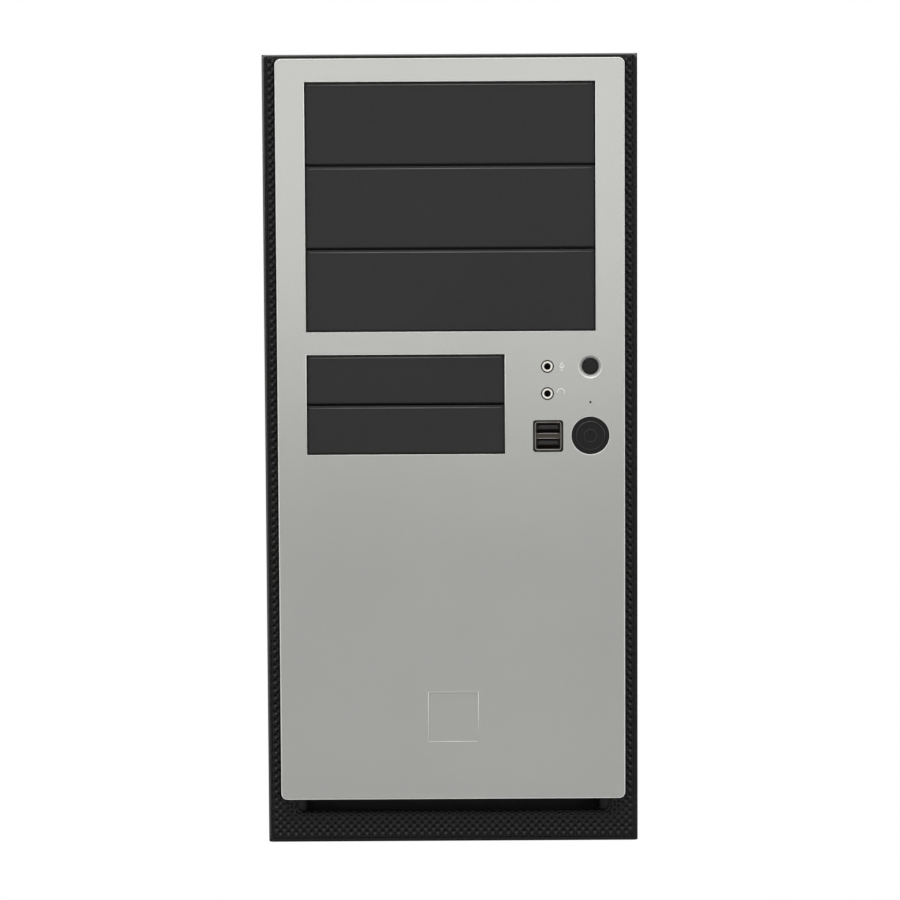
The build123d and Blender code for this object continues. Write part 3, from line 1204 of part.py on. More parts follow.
def build():
    """Write every node."""
    os.makedirs("parts", exist_ok=True)
    write("chassis_base", chassis_base())
    write("chassis_top", chassis_top())
    write("chassis_front", *chassis_front())
    write("chassis_rear", chassis_rear())
    write("motherboard_tray", motherboard_tray())
    write("optical_bay_cage", optical_bay_cage())
    write("floppy_bay_cage", floppy_bay_cage())
    write("hard_drive_cage", hard_drive_cage())
    write("feet", *feet())
    write("thumbscrews", *thumbscrews())
    write("slot_covers", *slot_covers())
    write("case_screws", *case_screws())
    write("motherboard", motherboard())
    write("board_standoffs", *board_standoffs())
    write("cpu_socket", *cpu_socket())
    write("cpu_heatsink", cpu_heatsink())
    write("cpu_fan_frame", at_cooler(fan_frame(COOLER_SIZE, CPU_FAN_DEEP, 16.0)))
    write("cpu_fan_rotor", at_cooler(fan_rotor(COOLER_SIZE, CPU_FAN_DEEP, 16.0, 7)))
    write("rear_fan_frame", at_rear(FAN_X, FAN_Z, fan_frame(FAN_SIZE, FAN_DEEP, 20.0)))
    write("rear_fan_rotor", at_rear(FAN_X, FAN_Z, fan_rotor(FAN_SIZE, FAN_DEEP, 20.0, 7)))
    inner = Pos(0, -SHEET, 0)
    write("psu_fan_frame", inner * at_rear(PSU_FAN_X, PSU_FAN_Z, fan_frame(PSU_FAN, PSU_FAN_DEEP, 16.0)))
    write("psu_fan_rotor", inner * at_rear(PSU_FAN_X, PSU_FAN_Z, fan_rotor(PSU_FAN, PSU_FAN_DEEP, 16.0, 7)))
    write("board_slots", *board_slots())
    write("memory_modules", *memory_modules())
    write("chipset_heatsinks", *chipset_heatsinks())
    write("capacitors", *capacitors())
    write("coils", *coils())
    write("board_sockets", *board_sockets())
    write("coin_cell", *coin_cell())
    write("rear_port_block", *rear_port_block())
    write("io_shield", io_shield())
    write("psu_housing", *psu_housing())
    write("psu_fan_grille", psu_fan_grille())
    write("psu_inlet", psu_inlet(), rocker_frame())
    write("psu_switch", psu_switch())
    write("psu_circuit", *psu_circuit())
    write("hard_drive_body", hard_drive_body())
    write("hard_drive_lid", hard_drive_lid())
    write("hard_drive_board", hard_drive_board())
    write("power_leads", *power_leads())
    write("drive_data_lead", *drive_data_lead())
    write("bezel_hinge_pins", *bezel_hinge_pins())
    write("front_bezel", *front_bezel())
    write("front_plate", *front_plate())
    write("air_filter", air_filter())
    write("switch_board", switch_board())
    write("usb_shell", usb_shell())
    write("usb_tongues", *usb_tongues())
    write("audio_jacks", *audio_jacks())
    write("activity_light", activity_light())
    write("socket_board", socket_board())
    write("left_side_panel", side_panel(-1))
    write("right_side_panel", side_panel(1))
    for i, cover in enumerate(bay_covers()):
        write("bay_cover_" + str(i + 1), cover)
    write("power_button", power_button())
    write("reset_button", reset_button())


build()
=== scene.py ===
"""Looks of the desktop tower: materials, knurled bezel skin, symbols, board details, light and camera."""
import json
from math import cos, pi, radians, sin, tau

import bmesh
import bpy
from mathutils import Matrix, Vector


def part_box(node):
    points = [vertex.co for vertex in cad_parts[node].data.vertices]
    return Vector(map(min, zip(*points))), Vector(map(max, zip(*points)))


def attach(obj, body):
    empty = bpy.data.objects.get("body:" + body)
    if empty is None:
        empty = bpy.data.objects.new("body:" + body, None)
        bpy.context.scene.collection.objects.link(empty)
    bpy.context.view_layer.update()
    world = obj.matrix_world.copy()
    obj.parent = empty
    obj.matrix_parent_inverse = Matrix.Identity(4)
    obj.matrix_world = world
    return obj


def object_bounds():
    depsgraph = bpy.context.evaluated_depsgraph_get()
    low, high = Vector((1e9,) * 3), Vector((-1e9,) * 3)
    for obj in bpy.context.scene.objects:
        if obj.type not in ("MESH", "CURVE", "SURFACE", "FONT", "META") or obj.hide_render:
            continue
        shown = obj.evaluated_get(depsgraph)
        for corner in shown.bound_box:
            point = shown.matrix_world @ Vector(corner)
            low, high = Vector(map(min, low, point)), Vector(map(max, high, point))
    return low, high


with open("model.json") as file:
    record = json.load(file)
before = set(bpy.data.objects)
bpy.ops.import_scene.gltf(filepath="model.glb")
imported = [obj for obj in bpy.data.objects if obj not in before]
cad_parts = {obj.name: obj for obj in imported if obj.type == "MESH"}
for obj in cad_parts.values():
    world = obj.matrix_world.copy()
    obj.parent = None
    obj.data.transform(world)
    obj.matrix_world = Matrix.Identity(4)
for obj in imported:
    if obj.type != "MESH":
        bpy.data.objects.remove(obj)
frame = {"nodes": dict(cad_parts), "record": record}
cad_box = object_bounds()

MM = 0.001
LOW, HIGH = (Vector(corner) for corner in cad_box)

# Places that the frame gives
PLATE_LOW, PLATE_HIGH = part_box("front_plate")
BEZEL_LOW, BEZEL_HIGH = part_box("front_bezel")
JACKS_LOW, JACKS_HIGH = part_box("audio_jacks")
BUTTON_LOW, BUTTON_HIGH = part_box("power_button")
RESET_LOW, RESET_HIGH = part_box("reset_button")
PLATE_Y = PLATE_LOW[1]
FACE_Y = PLATE_HIGH[1]
JACK_HALF = 4.5 * MM
JACK_X = JACKS_LOW[0] + JACK_HALF
JACK_Z = (JACKS_HIGH[2] - JACK_HALF, JACKS_LOW[2] + JACK_HALF)
POWER_AT = ((BUTTON_LOW[0] + BUTTON_HIGH[0]) / 2, (BUTTON_LOW[2] + BUTTON_HIGH[2]) / 2)
RESET_AT = (POWER_AT[0], (RESET_LOW[2] + RESET_HIGH[2]) / 2)

# Places on the front that only this script knows
MIC_AT = (JACK_X + 7.4 * MM, JACK_Z[0] - 0.1 * MM)
PHONES_AT = (JACK_X + 7.0 * MM, JACK_Z[1] + 0.8 * MM)
BADGE_AT = (0.3 * MM, PLATE_LOW[2] + 43.3 * MM)
BADGE_HALF = 13.0 * MM

# Relief of the bezel's face
KNURL_PITCH = 4.1 * MM
KNURL_HEIGHT = 1.5 * MM
KNURL_STEP = KNURL_PITCH / 9
KNURL_MIDDLE = 0.65
KNURL_BORDER = 2.1 * MM
KNURL_TOP_BORDER = 0.9 * MM
KNURL_FADE = 0.5 * MM
KNURL_SINK = 0.10 * MM
KNURL_THICK = 0.3 * MM
PLATE_GAP = 0.2 * MM
SLOT_HALF = 81.9 * MM
SLOT_SILL = 24.6 * MM

# Printed and raised lines
SYMBOL_Y = PLATE_Y + 0.02 * MM
LINE_R = 0.2 * MM
WIRE_FLATNESS = 0.5
COVER_GAP = 0.6 * MM
RIM_INSET = 0.45 * MM
RIM_CORNER = 2.75 * MM
USB_RIM_OUT = 0.05 * MM
USB_RIM_CORNER = 1.2 * MM
USB_BAND_HALF = 1.25 * MM

# Light and camera
WORLD_STRENGTH = 0.42
FLOOR_TONE = 0.58
FLOOR_SPAN = 9.0
WALL_AHEAD = 3.0
WALL_HALF = 1.6
WALL_TOP = 1.2
WALL_GLOW = 1.35
SLAB = 0.02
CAMERA_BACK = 2.0324
CAMERA_X = -0.0055
YAW = radians(0.133)
PITCH = radians(5.703)
ROLL = radians(-0.308)
LENS = 158.63


# ---------------------------------------------------------------- materials

def link(tree, source, output, target, socket):
    tree.links.new(source.outputs[output], target.inputs[socket])


def node(tree, kind, **settings):
    made = tree.nodes.new(kind)
    for name, value in settings.items():
        setattr(made, name, value)
    return made


def material(name, color, rough, metallic=0.0, grain=None, depth=0.0, spread=0.12, rough_spread=0.06,
             stretch=(1, 1, 1), coat=0.0, specular=0.5):
    """Surface with fine relief of size grain (m), a soft change of tone, and uneven gloss."""
    mat = bpy.data.materials.new(name)
    mat.use_nodes = True
    tree = mat.node_tree
    shader = tree.nodes["Principled BSDF"]
    shader.inputs["Metallic"].default_value = metallic
    shader.inputs["Specular IOR Level"].default_value = specular
    shader.inputs["Coat Weight"].default_value = coat
    shader.inputs["Coat Roughness"].default_value = 0.25
    place = node(tree, "ShaderNodeTexCoord")
    scale = node(tree, "ShaderNodeMapping")
    scale.inputs["Scale"].default_value = stretch
    link(tree, place, "Object", scale, "Vector")

    cloud = node(tree, "ShaderNodeTexNoise")
    cloud.inputs["Scale"].default_value = 14.0
    cloud.inputs["Detail"].default_value = 4.0
    link(tree, scale, "Vector", cloud, "Vector")
    speck = node(tree, "ShaderNodeTexNoise")
    speck.inputs["Scale"].default_value = 1.0 / (grain or 0.0008)
    speck.inputs["Detail"].default_value = 2.0
    link(tree, scale, "Vector", speck, "Vector")

    both = node(tree, "ShaderNodeMix", data_type="FLOAT")
    both.inputs["Factor"].default_value = 0.5
    link(tree, cloud, "Fac", both, "A")
    link(tree, speck, "Fac", both, "B")
    tone = node(tree, "ShaderNodeValToRGB")
    tone.color_ramp.elements[0].position = 0.3
    tone.color_ramp.elements[1].position = 0.7
    tone.color_ramp.elements[0].color = [c * (1 - spread) for c in color] + [1]
    tone.color_ramp.elements[1].color = [min(1, c * (1 + spread)) for c in color] + [1]
    link(tree, both, "Result", tone, "Fac")
    link(tree, tone, "Color", shader, "Base Color")

    gloss = node(tree, "ShaderNodeMapRange")
    gloss.inputs["To Min"].default_value = max(0.02, rough - rough_spread)
    gloss.inputs["To Max"].default_value = min(1, rough + rough_spread)
    link(tree, both, "Result", gloss, "Value")
    link(tree, gloss, "Result", shader, "Roughness")

    if depth:
        bump = node(tree, "ShaderNodeBump")
        bump.inputs["Distance"].default_value = depth
        bump.inputs["Strength"].default_value = 1.0
        link(tree, speck, "Fac", bump, "Height")
        link(tree, bump, "Normal", shader, "Normal")
    return mat


def circuit_material():
    """Varnished green board with a net of slightly lighter tracks."""
    mat = material("board_green", (0.012, 0.075, 0.030), 0.32, grain=0.0011, depth=0.00003, coat=0.3)
    tree = mat.node_tree
    tracks = node(tree, "ShaderNodeTexBrick")
    tracks.inputs["Scale"].default_value = 230.0
    tracks.inputs["Mortar Size"].default_value = 0.035
    tracks.inputs["Color1"].default_value = (0.010, 0.060, 0.024, 1)
    tracks.inputs["Color2"].default_value = (0.014, 0.088, 0.034, 1)
    tracks.inputs["Mortar"].default_value = (0.035, 0.150, 0.060, 1)
    turn = node(tree, "ShaderNodeMapping")
    turn.inputs["Rotation"].default_value = (0, pi / 2, 0)
    place = tree.nodes["Texture Coordinate"]
    link(tree, place, "Object", turn, "Vector")
    link(tree, turn, "Vector", tracks, "Vector")
    link(tree, tracks, "Color", tree.nodes["Principled BSDF"], "Base Color")
    return mat


def braid_material():
    """Woven sleeve: two crossing waves."""
    mat = material("lead_sleeve", (0.020, 0.020, 0.022), 0.62, grain=0.0006, depth=0.0001)
    tree = mat.node_tree
    wave = node(tree, "ShaderNodeTexWave", wave_type="BANDS", bands_direction="DIAGONAL")
    wave.inputs["Scale"].default_value = 260.0
    place = tree.nodes["Texture Coordinate"]
    link(tree, place, "Object", wave, "Vector")
    link(tree, wave, "Fac", tree.nodes["Bump"], "Height")
    tree.nodes["Bump"].inputs["Distance"].default_value = 0.0004
    return mat


MATERIALS = {
    "black_steel": material("black_steel", (0.022, 0.022, 0.023), 0.48, grain=0.0007, depth=0.00006),
    "bare_steel": material("bare_steel", (0.50, 0.51, 0.52), 0.36, 1.0, grain=0.006, depth=0.00002,
                           spread=0.10),
    "screw_steel": material("screw_steel", (0.60, 0.60, 0.60), 0.26, 1.0, grain=0.0008, depth=0.00001),
    "foot_rubber": material("foot_rubber", (0.018, 0.018, 0.018), 0.86, grain=0.0005, depth=0.00008),
    "board_green": circuit_material(),
    "brass": material("brass", (0.66, 0.47, 0.20), 0.32, 1.0, grain=0.0008, depth=0.00001),
    "socket_plastic": material("socket_plastic", (0.016, 0.016, 0.018), 0.50, grain=0.0005, depth=0.00003),
    "cast_aluminium": material("cast_aluminium", (0.62, 0.63, 0.64), 0.40, 1.0, grain=0.0009, depth=0.00003),
    "fan_plastic": material("fan_plastic", (0.017, 0.017, 0.018), 0.44, grain=0.0006, depth=0.00002),
    "can_aluminium": material("can_aluminium", (0.45, 0.47, 0.52), 0.30, 1.0, grain=0.0006, depth=0.00001),
    "coil_dark": material("coil_dark", (0.060, 0.060, 0.064), 0.60, grain=0.0006, depth=0.00004),
    "socket_shell": material("socket_shell", (0.42, 0.40, 0.38), 0.30, 1.0, grain=0.0006, depth=0.00001),
    "chrome_wire": material("chrome_wire", (0.62, 0.62, 0.63), 0.16, 1.0, grain=0.0009),
    "lead_sleeve": braid_material(),
    "bezel_plastic": material("bezel_plastic", (0.0070, 0.0070, 0.0064), 0.36, grain=0.0005, depth=0.00002,
                              specular=0.25),
    "silver_plate": material("silver_plate", (0.522, 0.528, 0.504), 0.19, 0.50, grain=0.00045, depth=0.000006,
                             spread=0.035, rough_spread=0.02),
    "filter_plastic": material("filter_plastic", (0.020, 0.020, 0.020), 0.60, grain=0.0006, depth=0.00003),
    "jack_metal": material("jack_metal", (0.90, 0.87, 0.80), 0.34, 1.0, grain=0.0005, depth=0.00001),
    "light_lens": material("light_lens", (0.010, 0.010, 0.010), 0.20, grain=0.0006),
    "button_plastic": material("button_plastic", (0.0100, 0.0100, 0.0098), 0.24, grain=0.0006, depth=0.00001,
                               specular=0.22),
    "cover_plastic": material("cover_plastic", (0.0260, 0.0260, 0.0258), 0.60, grain=0.00055, depth=0.00006,
                              spread=0.16, stretch=(0.5, 1, 1), specular=0.28),
}
SYMBOL = material("symbol_print", (0.93, 0.94, 0.93), 0.45, grain=0.0006, spread=0.04)
LABEL = material("blank_label", (0.70, 0.71, 0.70), 0.55, grain=0.0008, spread=0.05)
CHIP = material("chip_resin", (0.018, 0.018, 0.020), 0.48, grain=0.0005, depth=0.00002)
# Near-white, lighter than the silver plate: painted highlight along the edges of the plate and its openings
EDGE = material("painted_edge_highlight", (0.86, 0.87, 0.84), 0.40, 0.15, grain=0.0006, spread=0.04)
DARK_SHELL = material("dark_shell", (0.070, 0.062, 0.054), 0.34, 1.0, grain=0.0006, depth=0.00001)
KNURL = material("knurl_plastic", (0.0015, 0.0015, 0.0014), 0.26, grain=0.0005, depth=0.00002, specular=0.33)
# Grey much lighter than the black plastic: painted highlight on the edges of the bezel and the bay covers
# that catch the light
PAINTED_HIGHLIGHT_GREY = material("painted_highlight_black_edge", (0.105, 0.105, 0.102), 0.34, grain=0.0005, specular=0.9)
# Lighter, less metallic copy of the silver plate: painted highlight in the reset button's countersink
DISH = material("countersink_highlight", (0.80, 0.81, 0.78), 0.40, 0.38, grain=0.0005, spread=0.04)
# Dark metallic: painted highlight rings on the black plastic power button
RING = material("button_ring_highlight", (0.11, 0.11, 0.107), 0.22, 1.0, grain=0.0006)
# Near-black: the dark insulator inside the audio jacks, and painted shade round the edges of the bay covers
INSULATOR_AND_GAP_SHADE = material("jack_insulator_and_gap_shade", (0.006, 0.005, 0.004), 0.5, grain=0.0006)

# Nodes that look different from the finish of their slot
NODE_LOOKS = {"usb_shell": DARK_SHELL}


def paint_nodes():
    """Each CAD node takes the finish of its material slot, or its own."""
    for row in frame["record"]["subparts"]:
        made = frame["nodes"][row["node"]]
        made.data.materials.clear()
        made.data.materials.append(NODE_LOOKS.get(row["node"], MATERIALS[row["material_slot"]]))


# ---------------------------------------------------------------- mesh helpers

def piece(name, bm, mat, body, smooth=False):
    """Turn a bmesh into a piece that rides on a body."""
    mesh = bpy.data.meshes.new(name)
    bmesh.ops.recalc_face_normals(bm, faces=bm.faces)
    bm.to_mesh(mesh)
    bm.free()
    if smooth:
        mesh.shade_smooth()
    made = bpy.data.objects.new(name, mesh)
    bpy.context.scene.collection.objects.link(made)
    mesh.materials.append(mat)
    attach(made, body)
    return made


def add_block(bm, low, high, bevel=0.0):
    """Block between two corners, with small bevels."""
    size = Vector(high) - Vector(low)
    middle = (Vector(high) + Vector(low)) / 2
    where = Matrix.Translation(middle) @ Matrix.Diagonal((*size, 1))
    corners = bmesh.ops.create_cube(bm, size=1.0, matrix=where)["verts"]
    if bevel:
        edges = list({e for v in corners for e in v.link_edges})
        bmesh.ops.bevel(bm, geom=edges, offset=bevel, segments=2, affect="EDGES")


def add_tube(bm, points, radius, sides=8, closed=False):
    """Flattened wire through points that lie in a plane of constant Y."""
    count = len(points)
    rings = []
    for i, point in enumerate(points):
        before = points[i - 1] if (i or closed) else point
        after = points[(i + 1) % count] if (i < count - 1 or closed) else point
        along = (Vector(after) - Vector(before)).normalized()
        across = along.cross(Vector((0, 1, 0))).normalized()
        ring = []
        for k in range(sides):
            turn = tau * k / sides
            ring.append(bm.verts.new(Vector(point) + across * (radius * cos(turn))
                                     + Vector((0, radius * WIRE_FLATNESS * sin(turn), 0))))
        rings.append(ring)
    spans = count if closed else count - 1
    for i in range(spans):
        a, b = rings[i], rings[(i + 1) % count]
        for k in range(sides):
            bm.faces.new((a[k], a[(k + 1) % sides], b[(k + 1) % sides], b[k]))
    if not closed:
        bm.faces.new(rings[0][::-1])
        bm.faces.new(rings[-1])


def arc(x, y, z, radius, start, end, steps):
    """Points on a circle in the plane of the front, angles in degrees from +X towards +Z."""
    turns = [radians(start + (end - start) * i / steps) for i in range(steps + 1)]
    return [(x + radius * cos(t), y, z + radius * sin(t)) for t in turns]


def circle(x, y, z, radius, steps):
    """Points of a whole circle, without a second point at its start."""
    return arc(x, y, z, radius, 0, 360, steps)[:-1]


def rounded_outline(x0, x1, z0, z1, y, r, steps):
    """Points round a rectangle with rounded corners, facing the front."""
    points = arc(x1 - r, y, z1 - r, r, 0, 90, steps) + arc(x0 + r, y, z1 - r, r, 90, 180, steps)
    return points + arc(x0 + r, y, z0 + r, r, 180, 270, steps) + arc(x1 - r, y, z0 + r, r, 270, 360, steps)


def add_outline(bm, x0, x1, z0, z1, y, radius):
    """Wire round a rectangle with sharp corners, facing the front."""
    for a, b in (((x0, z0), (x1, z0)), ((x1, z0), (x1, z1)), ((x1, z1), (x0, z1)), ((x0, z1), (x0, z0))):
        add_tube(bm, [(a[0], y, a[1]), (b[0], y, b[1])], radius)


def add_turned(bm, x, z, profile, sides):
    """Skin turned about the line along Y through (x, z), from pairs of Y and radius; returns its rings."""
    rings = [[bm.verts.new(p) for p in circle(x, y, z, radius, sides)] for y, radius in profile]
    for a, b in zip(rings, rings[1:]):
        for k in range(sides):
            bm.faces.new((a[k], a[(k + 1) % sides], b[(k + 1) % sides], b[k]))
    return rings


def thicken(made, thickness, offset=0.0):
    """Give a skin its thickness."""
    wall = made.modifiers.new("thickness", "SOLIDIFY")
    wall.thickness = thickness
    wall.offset = offset


# ---------------------------------------------------------------- bezel skin

def knurl_edge(x, z):
    """How far a point of the bezel's face lies inside the knurled area."""
    outer = min(BEZEL_HIGH[0] - KNURL_BORDER - abs(x), z - BEZEL_LOW[2] - KNURL_BORDER,
                BEZEL_HIGH[2] - KNURL_TOP_BORDER - z)
    behind_plate = max(abs(x) - PLATE_HIGH[0] - PLATE_GAP, PLATE_LOW[2] - PLATE_GAP - z)
    in_slot = max(abs(x) - SLOT_HALF, SLOT_SILL - z)
    return min(outer, behind_plate, in_slot)


def bezel_knurl():
    """Moulded relief on the front of the bezel, round the plate: rows of studs and pits."""
    bm = bmesh.new()
    columns = int((BEZEL_HIGH[0] - BEZEL_LOW[0]) / KNURL_STEP)
    rows = int((BEZEL_HIGH[2] - BEZEL_LOW[2]) / KNURL_STEP)
    points = {}
    for i in range(columns + 1):
        x = BEZEL_LOW[0] + i * KNURL_STEP
        for j in range(rows + 1):
            z = BEZEL_LOW[2] + j * KNURL_STEP
            inside = knurl_edge(x, z)
            if inside < -KNURL_STEP:
                continue
            fade = max(0.0, min(1.0, inside / KNURL_FADE))
            wave = cos(tau * x / KNURL_PITCH) * cos(tau * z / KNURL_PITCH)
            field = KNURL_MIDDLE + (1 - KNURL_MIDDLE) * max(0.0, wave) - KNURL_MIDDLE * max(0.0, -wave)
            rise = KNURL_HEIGHT * field * fade - KNURL_SINK * (1 - fade)
            points[i, j] = bm.verts.new((x, FACE_Y - rise, z))
    for i, j in list(points):
        corners = [(i, j), (i + 1, j), (i + 1, j + 1), (i, j + 1)]
        if all(c in points for c in corners):
            bm.faces.new([points[c] for c in corners])
    loose = [v for v in bm.verts if not v.link_faces]
    bmesh.ops.delete(bm, geom=loose, context="VERTS")
    skin = piece("bezel_knurl", bm, KNURL, "front_bezel", smooth=True)
    thicken(skin, KNURL_THICK, 1.0 if skin.data.polygons[0].normal.y > 0 else -1.0)


# ---------------------------------------------------------------- symbols

def microphone_symbol():
    """Outline of a generic microphone on its stand."""
    x, z = MIC_AT
    foot_z = z - 1.8 * MM
    foot_half = 0.9 * MM
    bm = bmesh.new()
    add_tube(bm, circle(x, SYMBOL_Y, z + 1.2 * MM, 0.62 * MM, 20), LINE_R, closed=True)
    add_tube(bm, arc(x, SYMBOL_Y, z + 0.7 * MM, 1.25 * MM, 190, 350, 12), LINE_R)
    add_tube(bm, [(x, SYMBOL_Y, z - 0.55 * MM), (x, SYMBOL_Y, z - 1.7 * MM)], LINE_R)
    add_tube(bm, [(x - foot_half, SYMBOL_Y, foot_z), (x + foot_half, SYMBOL_Y, foot_z)], LINE_R)
    piece("microphone_symbol", bm, SYMBOL, "front_bezel", smooth=True)


def headphone_symbol():
    """Outline of generic headphones: a band with two ear pads."""
    x, z = PHONES_AT
    pad_out, pad_half, pad_deep = 1.55 * MM, 0.32 * MM, 0.07 * MM
    bm = bmesh.new()
    add_tube(bm, arc(x, SYMBOL_Y, z, 1.75 * MM, -25, 205, 22), LINE_R)
    for side in (-1, 1):
        middle = x + side * pad_out
        low = (middle - pad_half, SYMBOL_Y - pad_deep, z - 1.35 * MM)
        high = (middle + pad_half, SYMBOL_Y + pad_deep, z - 0.25 * MM)
        add_block(bm, low, high, 0.05 * MM)
    piece("headphone_symbol", bm, SYMBOL, "front_bezel", smooth=True)


def power_symbol():
    """Broken ring with a bar, raised faintly from the power button."""
    x, z = POWER_AT
    y = BUTTON_LOW[1] + 0.48 * MM
    bm = bmesh.new()
    add_tube(bm, arc(x, y, z, 2.3 * MM, 125, 415, 40), LINE_R)
    add_tube(bm, [(x, y, z + 0.5 * MM), (x, y, z + 2.7 * MM)], LINE_R)
    piece("power_symbol", bm, MATERIALS["button_plastic"], "power_button", smooth=True)


# ---------------------------------------------------------------- edges and rims of the front, with painted highlights and painted shade

def bay_openings():
    """Left, right, bottom and top of the two openings in the plate, just outside their covers."""
    for first, last in (("bay_cover_1", "bay_cover_3"), ("bay_cover_4", "bay_cover_5")):
        low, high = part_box(last)[0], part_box(first)[1]
        yield low[0] - COVER_GAP, high[0] + COVER_GAP, low[2] - COVER_GAP, high[2] + COVER_GAP


def plate_edge_highlights():
    """Painted highlights: thin near-white rounded wires along the edges of the plate, of its openings and of
    the square recess, where these edges catch the light.
    """
    bm = bmesh.new()
    for x0, x1, z0, z1 in bay_openings():
        add_outline(bm, x0, x1, z0, z1, PLATE_Y + 0.10 * MM, 0.24 * MM)
    x, z = BADGE_AT
    add_outline(bm, x - BADGE_HALF, x + BADGE_HALF, z - BADGE_HALF, z + BADGE_HALF, PLATE_Y + 0.12 * MM,
                0.26 * MM)
    x, z = POWER_AT
    add_tube(bm, circle(x, PLATE_Y + 0.16 * MM, z, 10.1 * MM, 60), 0.30 * MM, closed=True)
    x = PLATE_HIGH[0] - RIM_INSET
    rim = rounded_outline(-x, x, PLATE_LOW[2] + RIM_INSET, PLATE_HIGH[2] - RIM_INSET, PLATE_Y + 0.18 * MM,
                          RIM_CORNER, 8)
    add_tube(bm, rim, 0.34 * MM, closed=True)
    piece("plate_edge_highlights", bm, EDGE, "front_bezel", smooth=True)


def bezel_edge_highlights():
    """Painted highlight: a lighter grey wire along the rounded left and top edges of the bezel, where the
    black plastic catches the light.
    """
    inset, corner = 0.62 * MM, 1.4 * MM
    y = FACE_Y + 0.28 * MM
    left, right = BEZEL_LOW[0] + inset, BEZEL_HIGH[0] - inset
    top = BEZEL_HIGH[2] - inset
    path = [(left, y, BEZEL_LOW[2] + 2 * MM)]
    path += reversed(arc(left + corner, y, top - corner, corner, 90, 180, 6))
    path += reversed(arc(right - corner, y, top - corner, corner, 0, 90, 6))
    bm = bmesh.new()
    add_tube(bm, path, 0.60 * MM)
    piece("bezel_edge_highlights", bm, PAINTED_HIGHLIGHT_GREY, "front_bezel", smooth=True)


def cover_edges():
    """Painted shade: a near-black wire round the edge of each bay cover, along its parting line, where its
    edges fall into shade; and a painted highlight along its upper edge, where the light from above catches
    it.
    """
    inset, line_down, line_in = 0.5 * MM, 1.25 * MM, 1.3 * MM
    for k in range(1, 6):
        name = f"bay_cover_{k}"
        low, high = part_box(name)
        # Near-black wire round the cover's edge: painted shade along the parting line
        bm = bmesh.new()
        add_outline(bm, low[0] + inset, high[0] - inset, low[2] + inset, high[2] - inset,
                    low[1] + 0.36 * MM, 0.50 * MM)
        piece(f"{name}_parting_shade", bm, INSULATOR_AND_GAP_SHADE, name)
        # Lighter grey wire under the top edge: painted highlight
        bm = bmesh.new()
        z = high[2] - line_down
        add_tube(bm, [(low[0] + line_in, low[1], z), (high[0] - line_in, low[1], z)], 0.26 * MM)
        piece(f"{name}_upper_edge_highlight", bm, PAINTED_HIGHLIGHT_GREY, name, smooth=True)


def button_rings():
    """Painted highlights: thin metallic rings laid on the black power button, at its ridge and groove, so
    that they catch the light there.
    """
    x, z = POWER_AT
    bm = bmesh.new()
    for radius, wire in ((7.25 * MM, 0.24 * MM), (3.2 * MM, 0.10 * MM)):
        add_tube(bm, circle(x, BUTTON_LOW[1] + 0.7 * wire, z, radius, 48), wire, closed=True)
    piece("power_button_rings", bm, RING, "power_button", smooth=True)


def reset_countersink_highlight():
    """Painted highlight: a lighter, less metallic copy of the plate's finish laid over the countersink round
    the reset button, so that it looks brighter than the plate.
    """
    lip = PLATE_Y - 0.02 * MM
    profile = [(lip, 6.25 * MM), (lip + 0.28 * MM, 5.95 * MM), (lip + 1.42 * MM, 4.35 * MM)]
    bm = bmesh.new()
    add_turned(bm, *RESET_AT, profile, 48)
    thicken(piece("reset_countersink_highlight", bm, DISH, "front_bezel", smooth=True), 0.03 * MM)


def jack_liners():
    """Dark insulator that lines each audio jack, open at the front."""
    front, back = JACKS_LOW[1] + 0.35 * MM, JACKS_LOW[1] + 13.6 * MM
    profile = [(front, 1.70 * MM), (back, 1.70 * MM), (back + 0.1 * MM, 0.2 * MM)]
    bm = bmesh.new()
    for z in JACK_Z:
        rings = add_turned(bm, JACK_X, z, profile, 24)
        bm.faces.new(rings[-1])
    thicken(piece("jack_liners", bm, INSULATOR_AND_GAP_SHADE, "front_bezel"), 0.04 * MM)


def intake_ends():
    """Rounded inner wall at each end of the intake slot, under the plate."""
    outer, inner, radius = 81.3 * MM, 79.4 * MM, 3.9 * MM
    front, back = FACE_Y + 2.4 * MM, FACE_Y + 6.3 * MM
    low, high = PLATE_LOW[2] - 7.6 * MM, PLATE_LOW[2] + 24.0 * MM
    steps = 8
    bm = bmesh.new()
    for side in (-1, 1):
        outline = [(side * outer, front)]
        for i in range(steps + 1):
            turn = pi / 2 * i / steps
            outline.append((side * (inner - radius * sin(turn)), back - radius * cos(turn)))
        outline.append((side * outer, back))
        top = [bm.verts.new((x, y, high)) for x, y in outline]
        bottom = [bm.verts.new((x, y, low)) for x, y in outline]
        bm.faces.new(top)
        bm.faces.new(bottom[::-1])
        for k in range(len(outline)):
            n = (k + 1) % len(outline)
            bm.faces.new((bottom[k], bottom[n], top[n], top[k]))
    piece("intake_ends", bm, MATERIALS["bezel_plastic"], "front_bezel")


def usb_rim():
    """Bright rolled edge round the stacked sockets, and the two edges of the band between them."""
    low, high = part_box("usb_shell")
    y = low[1]
    bm = bmesh.new()
    rim = rounded_outline(low[0] - USB_RIM_OUT, high[0] + USB_RIM_OUT, low[2] - USB_RIM_OUT,
                          high[2] + USB_RIM_OUT, y, USB_RIM_CORNER, 6)
    add_tube(bm, rim, 0.20 * MM, closed=True)
    middle = (low[2] + high[2]) / 2
    for z in (middle - USB_BAND_HALF, middle + USB_BAND_HALF):
        add_tube(bm, [(low[0] + 0.5 * MM, y, z), (high[0] - 0.5 * MM, y, z)], 0.17 * MM)
    piece("usb_rim", bm, MATERIALS["socket_shell"], "front_bezel", smooth=True)


# ---------------------------------------------------------------- inner details

